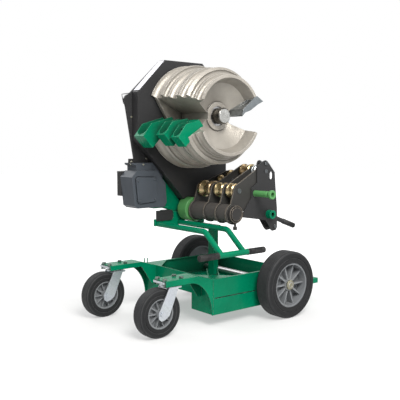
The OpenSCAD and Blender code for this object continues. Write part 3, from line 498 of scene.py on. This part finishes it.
def new_object(name, mesh):
    """A mesh's object, linked to the scene."""
    obj = bpy.data.objects.new(name, mesh)
    bpy.context.scene.collection.objects.link(obj)
    return obj


def mesh_object(name, build, material, smooth=True):
    """A mesh piece filled by build(bm), with its normals outwards."""
    bm = bmesh.new()
    build(bm)
    bmesh.ops.remove_doubles(bm, verts=bm.verts, dist=1e-6)
    bmesh.ops.recalc_face_normals(bm, faces=bm.faces)
    mesh = bpy.data.meshes.new(name)
    bm.to_mesh(mesh)
    bm.free()
    mesh.materials.append(material)
    for polygon in mesh.polygons:
        polygon.use_smooth = smooth
    return new_object(name, mesh)


def soften(piece, width, segments=2):
    """Rounds the edges of a flat-faced piece."""
    bevel = piece.modifiers.new("Bevel", "BEVEL")
    bevel.width = width
    bevel.segments = segments


def place(obj, body):
    """Rides a piece on a body."""
    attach(obj, body)
    return obj


def turned(bm, profile, origin, axis, steps=32):
    """Turned shape from pairs of a distance along the axis and a radius."""
    out = axis.orthogonal().normalized()
    verts = [bm.verts.new(origin + axis * along + out * radius) for along, radius in profile]
    edges = [bm.edges.new(pair) for pair in zip(verts, verts[1:])]
    bmesh.ops.spin(bm, geom=verts + edges, cent=origin, axis=axis, angle=math.tau, steps=steps)


def prism(bm, outline, depth):
    """Plate of an x, z outline between two depths, in millimetres."""
    front, back = [[bm.verts.new((x * MM, y * MM, z * MM)) for x, z in outline] for y in depth]
    bm.faces.new(front)
    bm.faces.new(back[::-1])
    for i in range(len(outline)):
        j = (i + 1) % len(outline)
        bm.faces.new((front[i], back[i], back[j], front[j]))


def tube(bm, path, radius, sides=10):
    """Round wire along a path, closed at both ends."""
    rings = []
    side = None
    for index, point in enumerate(path):
        ahead = Vector(path[min(index + 1, len(path) - 1)])
        behind = Vector(path[max(index - 1, 0)])
        forward = (ahead - behind).normalized()
        side = forward.orthogonal() if side is None else side - forward * side.dot(forward)
        side.normalize()
        up = forward.cross(side)
        turns = [i * math.tau / sides for i in range(sides)]
        rings.append([bm.verts.new(Vector(point) + radius * (math.cos(a) * side + math.sin(a) * up))
                      for a in turns])
    for a, b in zip(rings, rings[1:]):
        for i in range(sides):
            bm.faces.new((a[i], a[(i + 1) % sides], b[(i + 1) % sides], b[i]))
    bm.faces.new(rings[0])
    bm.faces.new(rings[-1])


def points_object(name, places):
    """Loose points that carry an axis and a size for Geometry Nodes."""
    mesh = bpy.data.meshes.new(name)
    mesh.from_pydata([Vector(p[0]) * MM for p in places], [], [])
    for key, kind, field, column in (("axis", "FLOAT_VECTOR", "vector", 1), ("size", "FLOAT", "value", 2)):
        values = mesh.attributes.new(key, kind, "POINT").data
        for index, item in enumerate(places):
            setattr(values[index], field, item[column])
    return new_object(name, mesh)


def path_object(name, paths):
    """Open polylines as edges, for Geometry Nodes that follow them."""
    verts = []
    links = []
    for path in paths:
        first = len(verts)
        verts += [Vector(p) * MM for p in path]
        links += [(first + i, first + i + 1) for i in range(len(path) - 1)]
    mesh = bpy.data.meshes.new(name)
    mesh.from_pydata(verts, links, [])
    return new_object(name, mesh)


class Nodes:
    """Short way to build a Geometry Nodes tree."""

    def __init__(self, name):
        self.tree = bpy.data.node_groups.new(name, "GeometryNodeTree")
        self.tree.interface.new_socket("Geometry", in_out="INPUT", socket_type="NodeSocketGeometry")
        self.tree.interface.new_socket("Geometry", in_out="OUTPUT", socket_type="NodeSocketGeometry")
        self.source = self.add("NodeGroupInput")
        self.target = self.add("NodeGroupOutput")

    def number(self, name, value):
        """Adds a number that a piece can set, with its default."""
        socket = self.tree.interface.new_socket(name, in_out="INPUT", socket_type="NodeSocketFloat")
        socket.default_value = value

    def add(self, kind, values=None, **settings):
        node = self.tree.nodes.new(kind)
        for key, value in settings.items():
            setattr(node, key, value)
        for key, value in (values or {}).items():
            node.inputs[key].default_value = value
        return node

    def join(self, a, out, b, socket):
        self.tree.links.new(a.outputs[out], b.inputs[socket])

    def close(self, node, out, material):
        """Ends the tree in real geometry with its material."""
        real = self.add("GeometryNodeRealizeInstances")
        self.join(node, out, real, "Geometry")
        paint = self.add("GeometryNodeSetMaterial")
        paint.inputs["Material"].default_value = material
        self.join(real, "Geometry", paint, "Geometry")
        self.join(paint, "Geometry", self.target, "Geometry")
        return self.tree


def scatter(nodes, shape, out, material):
    """Places a shape on each point, along its axis and at its size."""
    axis = nodes.add("GeometryNodeInputNamedAttribute", {"Name": "axis"}, data_type="FLOAT_VECTOR")
    size = nodes.add("GeometryNodeInputNamedAttribute", {"Name": "size"}, data_type="FLOAT")
    align = nodes.add("FunctionNodeAlignRotationToVector", axis="Z")
    nodes.join(axis, "Attribute", align, "Vector")
    copies = nodes.add("GeometryNodeInstanceOnPoints")
    nodes.join(nodes.source, "Geometry", copies, "Points")
    nodes.join(shape, out, copies, "Instance")
    nodes.join(align, "Rotation", copies, "Rotation")
    nodes.join(size, "Attribute", copies, "Scale")
    return nodes.close(copies, "Instances", material)


def grown(source, tree, name, **numbers):
    """The evaluated result of a tree on an object, as a plain mesh piece."""
    modifier = source.modifiers.new("Nodes", "NODES")
    modifier.node_group = tree
    for item in tree.interface.items_tree:
        if item.item_type == "SOCKET" and item.in_out == "INPUT" and item.name in numbers:
            modifier[item.identifier] = numbers[item.name]
    graph = bpy.context.evaluated_depsgraph_get()
    mesh = bpy.data.meshes.new_from_object(source.evaluated_get(graph))
    mesh.name = name
    source.modifiers.remove(modifier)
    bpy.data.objects.remove(source)
    return new_object(name, mesh)


def bolt_tree(name, material):
    """Six-sided bolt head of unit radius on a washer, with a turned top."""
    n = Nodes(name)
    n.number("Head height", 0.62)

    def raised(shape, part, step):
        """Lifts a shape by a part of the head's height and a fixed step."""
        height = n.add("ShaderNodeMath", operation="MULTIPLY_ADD")
        height.inputs[1].default_value = part
        height.inputs[2].default_value = step
        n.join(n.source, "Head height", height, 0)
        lift = n.add("ShaderNodeCombineXYZ")
        n.join(height, "Value", lift, "Z")
        moved = n.add("GeometryNodeTransform")
        n.join(shape, "Mesh", moved, "Geometry")
        n.join(lift, "Vector", moved, "Translation")
        return moved

    washer = n.add("GeometryNodeMeshCylinder", {"Vertices": 24, "Radius": 1.3, "Depth": 0.16})
    head = n.add("GeometryNodeMeshCylinder", {"Vertices": 6, "Radius": 1.0})
    n.join(n.source, "Head height", head, "Depth")
    crown = n.add("GeometryNodeMeshCone",
                  {"Vertices": 24, "Radius Top": 0.62, "Radius Bottom": 0.9, "Depth": 0.12})
    both = n.add("GeometryNodeJoinGeometry")
    for part in (raised(crown, 1.0, 0.14), raised(head, 0.5, 0.15), raised(washer, 0.0, 0.08)):
        n.join(part, "Geometry", both, "Geometry")
    return scatter(n, both, "Geometry", material)


def ring_tree(name, material):
    """Round wire ring of unit radius."""
    n = Nodes(name)
    n.number("Thickness", 0.1)
    path = n.add("GeometryNodeCurvePrimitiveCircle", {"Resolution": 40, "Radius": 1.0})
    wire = n.add("GeometryNodeCurvePrimitiveCircle", {"Resolution": 10})
    n.join(n.source, "Thickness", wire, "Radius")
    sweep = n.add("GeometryNodeCurveToMesh")
    n.join(path, "Curve", sweep, "Curve")
    n.join(wire, "Curve", sweep, "Profile Curve")
    return scatter(n, sweep, "Mesh", material)


def bead_tree(name, material):
    """Weld bead: flattened ripples that overlap along a path."""
    n = Nodes(name)
    n.number("Pitch", 0.0024)
    n.number("Width", 0.0042)
    curve = n.add("GeometryNodeMeshToCurve")
    n.join(n.source, "Geometry", curve, "Mesh")
    steps = n.add("GeometryNodeResampleCurve", mode="LENGTH")
    n.join(curve, "Curve", steps, "Curve")
    n.join(n.source, "Pitch", steps, "Length")
    tangent = n.add("GeometryNodeInputTangent")
    align = n.add("FunctionNodeAlignRotationToVector", axis="Z")
    n.join(tangent, "Tangent", align, "Vector")
    drop = n.add("GeometryNodeMeshIcoSphere", {"Radius": 0.5, "Subdivisions": 2})
    flat = n.add("GeometryNodeTransform", {"Scale": (1.0, 1.0, 0.62)})
    n.join(drop, "Mesh", flat, "Geometry")
    copies = n.add("GeometryNodeInstanceOnPoints")
    n.join(steps, "Curve", copies, "Points")
    n.join(flat, "Geometry", copies, "Instance")
    n.join(align, "Rotation", copies, "Rotation")
    n.join(n.source, "Width", copies, "Scale")
    return n.close(copies, "Instances", material)


def fittings(name, places, tree, body, slot, **numbers):
    """One piece of like fittings at their places, on a body."""
    return place(grown(points_object(name + "_points", places), tree, name, **numbers), body)


class BENDER_OT_green_parts(bpy.types.Operator):
    """Coat the cart, the frames and the stepped hook green"""
    bl_idname = "bender.green_parts"
    bl_label = "Green parts"

    def execute(self, context):
        dress(finish("green coat"), "tray", "arm_near", "arm_far", "brace", "post", "rear_bar",
              "tilt_frame", "handle_frame", "green_hook", "cross_tube")
        dress(finish("light green coat"), "hub_disc", "hand_rod")
        return {"FINISHED"}


class BENDER_OT_black_parts(bpy.types.Operator):
    """Coat the head, the reducer and the roller support"""
    bl_idname = "bender.black_parts"
    bl_label = "Black and slate parts"

    def execute(self, context):
        dress(finish("black coat"), "panel", "back_plate", "bearing_housing", "motor_flange", "motor",
              "cross_plate", "side_plate_front", "side_plate_rear", "lever")
        dress(finish("worn hub"), "drum")
        dress(finish("worn arm"), "arm_plates")
        dress(finish("worn plate"), "drum_collar", "drum_shaft")
        dress(finish("slate coat"), "reducer", "reducer_cover")
        return {"FINISHED"}


class BENDER_OT_bare_metal(bpy.types.Operator):
    """Finish the shoe, the rollers, the shafts and the plated parts"""
    bl_idname = "bender.bare_metal"
    bl_label = "Metal parts"

    def execute(self, context):
        dress(finish("shoe casting"), "shoe")
        dress(finish("spindle steel"), "spindle")
        dress(finish("yellow zinc"), "roller_left", "roller_left_mid", "roller_left_front", "roller_small",
              "roller_right", "roller_right_mid")
        dress(finish("dull zinc"), "axle_caps")
        # The caster bolts' green-grey is a painted reflection
        dress(finish("weathered zinc"), "caster_bolts")
        dress(finish("bright zinc"), "caster_plates", "fork_near", "fork_far", "roller_right_front")
        dress(finish("hook steel"), "steel_hook")
        dress(finish("dark steel"), "spacers", "roller_axles")
        dress(finish("ground steel"), "tilt_shaft", "axle", "spindle_bearings", "spindle_collar",
              "bull_gear", "pinion")
        return {"FINISHED"}


class BENDER_OT_wheels(bpy.types.Operator):
    """Finish the tyres and the moulded hubs"""
    bl_idname = "bender.wheels"
    bl_label = "Wheels"

    def execute(self, context):
        rubber = tuple(colours().rubber)
        for name in ("tyre_near", "tyre_far", "caster_tyre_near", "caster_tyre_far"):
            low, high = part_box(name)
            dress(ribbed_rubber(name + " rubber", rubber, middle(name), (high[1] - low[1]) / 2), name)
        dress(finish("hub plastic"), "hub_near", "hub_far", "caster_rim_near", "caster_rim_far")
        return {"FINISHED"}


class BENDER_OT_bolts(bpy.types.Operator):
    """Bolt heads on the head, the reducer's cover, the motor's flange and the post's foot"""
    bl_idname = "bender.bolts"
    bl_label = "Bolts"

    def execute(self, context):
        bolt = sizes().bolt
        small = sizes().small_bolt
        cover = box_mm("reducer_cover")[0][1]
        screws = [((x, cover, z), FRONT, sizes().screw) for x, z in COVER_SCREWS]
        tree = bolt_tree("cover screw heads", finish("slate coat"))
        fittings("cover_screws", screws, tree, "head", "slate_paint")
        plate = box_mm("back_plate")
        rim = [((x, plate[0][1], z), FRONT, small) for x, z in RIM_BOLTS]
        rim.append(((NECK_BOLT[0], NECK_FACE, NECK_BOLT[1]), FRONT, small))
        rim += [((x, CLAMP_DEPTH[0], z), FRONT, small) for x, z in CLAMP_BOLTS]
        tree = bolt_tree("dull bolt heads", finish("dull zinc"))
        fittings("rim_bolts", rim, tree, "head", "zinc")
        head = [((x, plate[1][1], z), BACK, bolt) for x, z in BACK_BOLTS]
        low, high = box_mm("motor_flange")
        head += [((x, high[1], z), BACK, bolt) for x in (low[0] + FLANGE_INSET, high[0] - FLANGE_INSET)
                 for z in (low[2] + FLANGE_INSET, high[2] - FLANGE_INSET)]
        tree = bolt_tree("bolt heads", finish("bright zinc"))
        fittings("head_bolts", head, tree, "head", "zinc")
        foot = [((FOOT_X + a * FOOT_REACH, b * FOOT_REACH, FOOT_TOP), UP, bolt)
                for a in (-1, 1) for b in (-1, 1)]
        fittings("foot_bolts", foot, tree, "cart", "zinc")
        return {"FINISHED"}


class BENDER_OT_clips(bpy.types.Operator):
    """Wire clips on the axle's caps and the roller pins, and rubbed rims on the support's shaft"""
    bl_idname = "bender.clips"
    bl_label = "Clips and rims"

    def execute(self, context):
        cap_clip = 0.012
        low, high = box_mm("axle_caps")
        x, _, z = middle("axle_caps") / MM
        caps = [((x, low[1], z), FRONT, cap_clip), ((x, high[1], z), BACK, cap_clip)]
        tree = ring_tree("cap clips", finish("ground steel"))
        fittings("axle_clips", caps, tree, "cart", "steel", Thickness=sizes().clip / cap_clip)
        x, _, z = middle("drum_shaft") / MM
        rim_inset = 0.6
        rim_margin = 0.001
        rims = []
        for name in ("drum_shaft", "drum_collar"):
            low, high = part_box(name)
            rims.append(((x, low[1] / MM + rim_inset, z), FRONT, (high[0] - low[0]) / 2 - rim_margin))
        tree = ring_tree("hub rims", finish("rubbed rim"))
        fittings("hub_rims", rims, tree, "head", "steel", Thickness=0.042)
        pin_stand = 2.2
        pins = []
        for roller, plate, radius in (("roller_left_front", "arm_plates", 0.0102),
                                      ("roller_right_front", "side_plate_front", 0.0082)):
            x, _, z = middle(roller) / MM
            pins.append(((x, box_mm(plate)[0][1] - pin_stand, z), FRONT, radius))
        tree = ring_tree("pin clips", finish("dark steel"))
        fittings("pin_clips", pins, tree, "support", "steel", Thickness=0.12)
        return {"FINISHED"}


class BENDER_OT_welds(bpy.types.Operator):
    """Weld beads where the arms, the post, the bar and the handle are joined"""
    bl_idname = "bender.welds"
    bl_label = "Weld beads"

    def execute(self, context):
        tree = bead_tree("weld beads", finish("green coat"))
        numbers = {"Pitch": sizes().bead_pitch, "Width": sizes().bead}
        low, high = box_mm("tray")
        front, end, half = low[0], high[0], high[1]
        corners = ((-1, -1), (1, -1), (1, 1), (-1, 1), (-1, -1))
        cart = [[(FOOT_X + a * POST_HALF[0], b * POST_HALF[1], FOOT_TOP + BEAD_LIFT) for a, b in corners]]
        for side in (-1, 1):
            cart.append([(front, side * half, z) for z in ARM_SEAM])
            cart.append([(front, side * ARM_INSIDE, z) for z in ARM_INNER_SEAM])
            y = side * (half - BAR_HALF)
            cart.append([(end, y + reach, BAR_TOP) for reach in (-BAR_TOP_REACH, BAR_TOP_REACH)])
            cart.append([(end, y - side * BAR_HALF, z) for z in BAR_SIDE_SEAM])
        seams = path_object("cart_seams", cart)
        place(grown(seams, tree, "cart_welds", **numbers), "cart")
        turns = [i * math.tau / 24 for i in range(25)]
        y, z = RING_MIDDLE
        wide, deep, tall = RING_HALF
        rings = [[(x + wide * math.cos(a), y + deep * math.sin(a), z + tall * math.sin(a)) for a in turns]
                 for x in RING_X]
        seams = path_object("handle_seams", rings)
        place(grown(seams, tree, "handle_welds", **numbers), "head")
        return {"FINISHED"}


class BENDER_OT_grips(bpy.types.Operator):
    """Thin rubber sleeves with ribs and closed ends on the handle's bar"""
    bl_idname = "bender.grips"
    bl_label = "Handle grips"

    def execute(self, context):
        low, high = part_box("handle_grips")
        _, y, z = middle("handle_grips")
        ends = ((low[0], 1), (high[0], -1))
        radius = sizes().grip
        grip = sizes().grip_length
        profile = [(0.0, 0.0), (0.0, radius + 0.0004), (0.003, radius + 0.0006), (0.005, radius),
                   (grip - 0.0016, radius), (grip - 0.0005, radius - 0.0006), (grip, radius - 0.0018),
                   (grip, 0.0)]

        def sleeves(bm):
            for end, way in ends:
                turned(bm, profile, Vector((end + way * grip, y, z)), Vector((-way, 0.0, 0.0)), 40)

        rubber = finish("grip rubber")
        body = mesh_object("handle_grip_sleeves", sleeves, rubber)
        place(body, "head")
        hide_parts("handle_grips")
        pitch = sizes().rib_pitch
        first_rib = 0.010
        count = int((grip - 2 * first_rib) / pitch)
        ribs = [(Vector((end + way * (first_rib + i * pitch), y, z)) / MM, ALONG, radius - 0.0004)
                for end, way in ends for i in range(count)]
        tree = ring_tree("grip rings", rubber)
        fittings("grip_ribs", ribs, tree, "head", "grip_rubber", Thickness=sizes().rib / radius)
        return {"FINISHED"}


class BENDER_OT_seam_gaps(bpy.types.Operator):
    """Painted shadow: a near-black strip in the seam between the tray's wall and its skirt, on both sides
    """
    bl_idname = "bender.seam_gaps"
    bl_label = "Skirt seams"

    def execute(self, context):
        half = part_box("tray")[1][1]
        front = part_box("tray")[0][0]
        seam = (front + 0.0092, 0.0928)
        depth = (half - 0.0019, half - 0.0006)
        height = (0.1261, 0.1299)

        def shadow_strips(bm):
            for side in (-1, 1):
                corners = [bm.verts.new((x, side * y, z)) for x in seam for y in depth for z in height]
                bmesh.ops.convex_hull(bm, input=corners)

        piece = mesh_object("skirt_seams", shadow_strips, finish("seam filler"), False)
        soften(piece, 0.0003)
        place(piece, "cart")
        return {"FINISHED"}


class BENDER_OT_fan_cowl(bpy.types.Operator):
    """Turned fan cowl with a ring grille on the motor's rear end"""
    bl_idname = "bender.fan_cowl"
    bl_label = "Fan cowl"

    def execute(self, context):
        x, _, z = middle("motor")
        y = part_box("motor")[1][1]
        profile = [(-0.016, 0.0), (-0.016, 0.0545), (0.010, 0.0545), (0.0155, 0.051), (0.017, 0.046),
                   (0.0145, 0.044), (0.0135, 0.012), (0.0135, 0.0)]
        plastic = finish("black plastic")
        body = mesh_object("fan_cowl", lambda bm: turned(bm, profile, Vector((x, y, z)), Vector(BACK), 48),
                           plastic)
        place(body, "head")
        grille = Vector((x, y + 0.0152, z)) / MM
        rings = [(grille, BACK, radius) for radius in (0.014, 0.021, 0.028, 0.035, 0.042)]
        tree = ring_tree("cowl rings", plastic)
        fittings("cowl_rings", rings, tree, "head", "black_plastic", Thickness=0.055)
        return {"FINISHED"}


class BENDER_OT_edge_strip(bpy.types.Operator):
    """Bare pale strip on the head's sloping upper edge"""
    bl_idname = "bender.edge_strip"
    bl_label = "Pale strip"

    def execute(self, context):
        low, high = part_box("panel")
        upper = Vector((-0.173, 0.0, high[2]))
        lower = Vector((-0.321, 0.0, high[2] - 0.148))
        along = (lower - upper).normalized()
        out = Vector((along.z, 0.0, -along.x))
        ends = (0.004, (lower - upper).length - 0.012)
        margin = 0.002
        sides = (low[1] + margin, high[1] - margin)
        faces = (-0.0004, 0.0012)

        def strip(bm):
            for s in ends:
                for y in sides:
                    for t in faces:
                        bm.verts.new(upper + along * s + out * t + Vector((0.0, y, 0.0)))
            bmesh.ops.convex_hull(bm, input=bm.verts)

        piece = mesh_object("edge_strip", strip, finish("pale strip"), False)
        soften(piece, 0.0005)
        place(piece, "head")
        return {"FINISHED"}


class BENDER_OT_corner_bail(bpy.types.Operator):
    """Black wire bail at the head's corner lug, with both ends let into the lug"""
    bl_idname = "bender.corner_bail"
    bl_label = "Corner bail"

    def execute(self, context):
        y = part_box("back_plate")[0][1] - BAIL_STAND * MM
        steps = 6
        corners = [Vector((x * MM, y, z * MM)) for x, z in BAIL]
        into = Vector((0.0, 0.003, 0.0))
        path = [corners[0] + into]
        for a, b in zip(corners, corners[1:]):
            path += [a + (b - a) * (i / steps) for i in range(steps)]
        path.append(corners[-1] + into)
        piece = mesh_object("corner_bail", lambda bm: tube(bm, path, sizes().wire), finish("black coat"))
        place(piece, "head")
        return {"FINISHED"}


class BENDER_OT_head_brackets(bpy.types.Operator):
    """Cast shoulder beside the reducer's neck and the small clamp on the back plate's edge"""
    bl_idname = "bender.head_brackets"
    bl_label = "Head brackets"

    def execute(self, context):
        piece = mesh_object("reducer_shoulder", lambda bm: prism(bm, SHOULDER, SHOULDER_DEPTH),
                            finish("slate coat"), False)
        soften(piece, 0.003, 3)
        place(piece, "head")
        piece = mesh_object("side_clamp", lambda bm: prism(bm, CLAMP, CLAMP_DEPTH), finish("black coat"),
                            False)
        soften(piece, 0.0012)
        place(piece, "head")
        return {"FINISHED"}


class BENDER_OT_lever_grip(bpy.types.Operator):
    """Rubber sleeve on the lever's outer end"""
    bl_idname = "bender.lever_grip"
    bl_label = "Lever grip"

    def execute(self, context):
        fall = math.radians(LEVER_FALL)
        axis = Vector((math.cos(fall), 0.0, -math.sin(fall)))
        pivot = Vector(LEVER_PIVOT)
        radius = sizes().lever_grip
        profile = [(0.124, 0.0), (0.124, radius), (0.127, radius + 0.0006), (0.130, radius),
                   (0.200, radius), (0.2025, radius - 0.0010), (0.2035, radius - 0.0030), (0.2035, 0.0)]
        piece = mesh_object("lever_grip", lambda bm: turned(bm, profile, pivot, axis),
                            finish("grip rubber"))
        place(piece, "lever")
        return {"FINISHED"}


class BENDER_OT_arm_pegs(bpy.types.Operator):
    """Two small upright pegs on the far arm, in front of the tray"""
    bl_idname = "bender.arm_pegs"
    bl_label = "Arm pegs"

    def execute(self, context):
        foot = 0.0036
        shank = 0.0026

        def pegs(bm):
            for x, y, low, high in PEGS:
                tall = (high - low) * MM
                profile = [(0.0, 0.0), (0.0, foot), (0.003, foot), (0.0036, shank), (tall - 0.0018, shank),
                           (tall - 0.0006, 0.0019), (tall, 0.0)]
                turned(bm, profile, Vector((x, y, low)) * MM, Vector(UP), 20)

        place(mesh_object("arm_pegs", pegs, finish("green coat")), "cart")
        return {"FINISHED"}


def floor_material():
    """Pale floor that is brightest around the part and behind it, and fades to the dim sky elsewhere."""
    s = Shader("studio floor")
    tone = s.spread(s.noise(0.8, 2.0), "Fac", 0.3, 0.7)
    floor = tuple(colours().floor)
    s.colour(*s.tint(tone, "Result", shade(floor, 0.985), floor))
    s.set("Roughness", 0.85)
    s.set("Specular IOR Level", 0.1)
    s.set("Emission Color", (1.0, 1.0, 1.0, 1.0))
    behind = s.add("ShaderNodeVectorMath", operation="DOT_PRODUCT")
    behind.inputs[1].default_value = BACKDROP
    s.join(s.coords, "Object", behind, 0)
    far = s.add("ShaderNodeVectorMath", operation="LENGTH")
    s.join(s.coords, "Object", far, 0)

    def combine(operation, first, first_out, second, second_out):
        node = s.add("ShaderNodeMath", operation=operation)
        s.join(first, first_out, node, 0)
        s.join(second, second_out, node, 1)
        return node

    angle = combine("DIVIDE", behind, "Value", far, "Value")
    wide = combine("MAXIMUM", s.spread(angle, "Value", 0.5, 0.85), "Result",
                   s.spread(far, "Value", 1.8, 3.5, 1.0, 0.0), "Result")
    white = combine("MULTIPLY", s.spread(behind, "Value", -0.4, 1.6, FAR_DIM, 1.0), "Result", wide, "Value")
    glow = combine("MAXIMUM", white, "Value", s.spread(far, "Value", 1.2, 4.5, DIM, FAR_DIM), "Result")
    s.join(glow, "Value", s.bsdf, "Emission Strength")
    return s.material


class BENDER_OT_stage(bpy.types.Operator):
    """Pale floor, sky that is bright behind the part, soft lights and the camera"""
    bl_idname = "bender.stage"
    bl_label = "Studio"

    def execute(self, context):
        scene = bpy.context.scene

        def disc(bm):
            bmesh.ops.create_circle(bm, cap_ends=True, segments=96, radius=FLOOR_RADIUS)

        floor = mesh_object("studio_floor", disc, floor_material())
        world = bpy.data.worlds.new("studio")
        scene.world = world
        world.use_nodes = True
        links = world.node_tree.links
        new = world.node_tree.nodes.new
        back = world.node_tree.nodes["Background"]
        back.inputs["Color"].default_value = (1.0, 1.0, 1.0, 1.0)
        way = new("ShaderNodeTexCoord")
        toward = new("ShaderNodeVectorMath")
        toward.operation = "DOT_PRODUCT"
        toward.inputs[1].default_value = BACKDROP
        ramp = new("ShaderNodeMapRange")
        for key, value in (("From Min", 0.55), ("From Max", 0.88), ("To Min", DIM), ("To Max", 1.0)):
            ramp.inputs[key].default_value = value
        links.new(way.outputs["Generated"], toward.inputs[0])
        links.new(toward.outputs["Value"], ramp.inputs["Value"])
        links.new(ramp.outputs["Result"], back.inputs["Strength"])
        for name, spot, size, power, tone in LAMPS:
            lamp = bpy.data.lights.new(name, "AREA")
            lamp.size = size
            lamp.energy = power
            lamp.color = tone
            light = bpy.data.objects.new(name, lamp)
            light.location = spot
            aim = Vector(LAMP_AIM) - Vector(spot)
            light.rotation_euler = aim.to_track_quat("-Z", "Y").to_euler()
            scene.collection.objects.link(light)
        lens = bpy.data.cameras.new("photo")
        lens.lens = CAMERA_LENS
        lens.sensor_width = 36.0
        lens.clip_end = 60.0
        camera = bpy.data.objects.new("photo", lens)
        camera.location = CAMERA_PLACE
        camera.rotation_euler = Vector(CAMERA_LOOK).to_track_quat("-Z", "Y").to_euler()
        scene.collection.objects.link(camera)
        scene.camera = camera
        scene.view_settings.view_transform = "Standard"
        return {"FINISHED"}


OPERATORS = (
    BENDER_OT_stage, BENDER_OT_green_parts, BENDER_OT_black_parts, BENDER_OT_bare_metal, BENDER_OT_wheels,
    BENDER_OT_bolts, BENDER_OT_clips, BENDER_OT_welds, BENDER_OT_grips, BENDER_OT_seam_gaps,
    BENDER_OT_fan_cowl, BENDER_OT_edge_strip, BENDER_OT_corner_bail, BENDER_OT_head_brackets,
    BENDER_OT_lever_grip, BENDER_OT_arm_pegs,
)


class BENDER_PT_panel(bpy.types.Panel):
    """Colours, sizes and steps of the bender"""
    bl_idname = "BENDER_PT_panel"
    bl_label = "Conduit Bender"
    bl_space_type = "VIEW_3D"
    bl_region_type = "UI"
    bl_category = "Bender"

    def draw(self, context):
        for operator in OPERATORS:
            self.layout.operator(operator.bl_idname)
        for group in (context.scene.bender_colours, context.scene.bender_sizes):
            box = self.layout.box()
            for key in group.__annotations__:
                box.prop(group, key)


CLASSES = (BenderColours, BenderSizes) + OPERATORS + (BENDER_PT_panel,)


def register():
    for item in CLASSES:
        bpy.utils.register_class(item)
    bpy.types.Scene.bender_colours = bpy.props.PointerProperty(type=BenderColours)
    bpy.types.Scene.bender_sizes = bpy.props.PointerProperty(type=BenderSizes)


def unregister():
    del bpy.types.Scene.bender_sizes
    del bpy.types.Scene.bender_colours
    for item in reversed(CLASSES):
        bpy.utils.unregister_class(item)


def main():
    register()
    for operator in OPERATORS:
        group, name = operator.bl_idname.split(".")
        getattr(getattr(bpy.ops, group), name)()


if __name__ == "__main__":
    main()
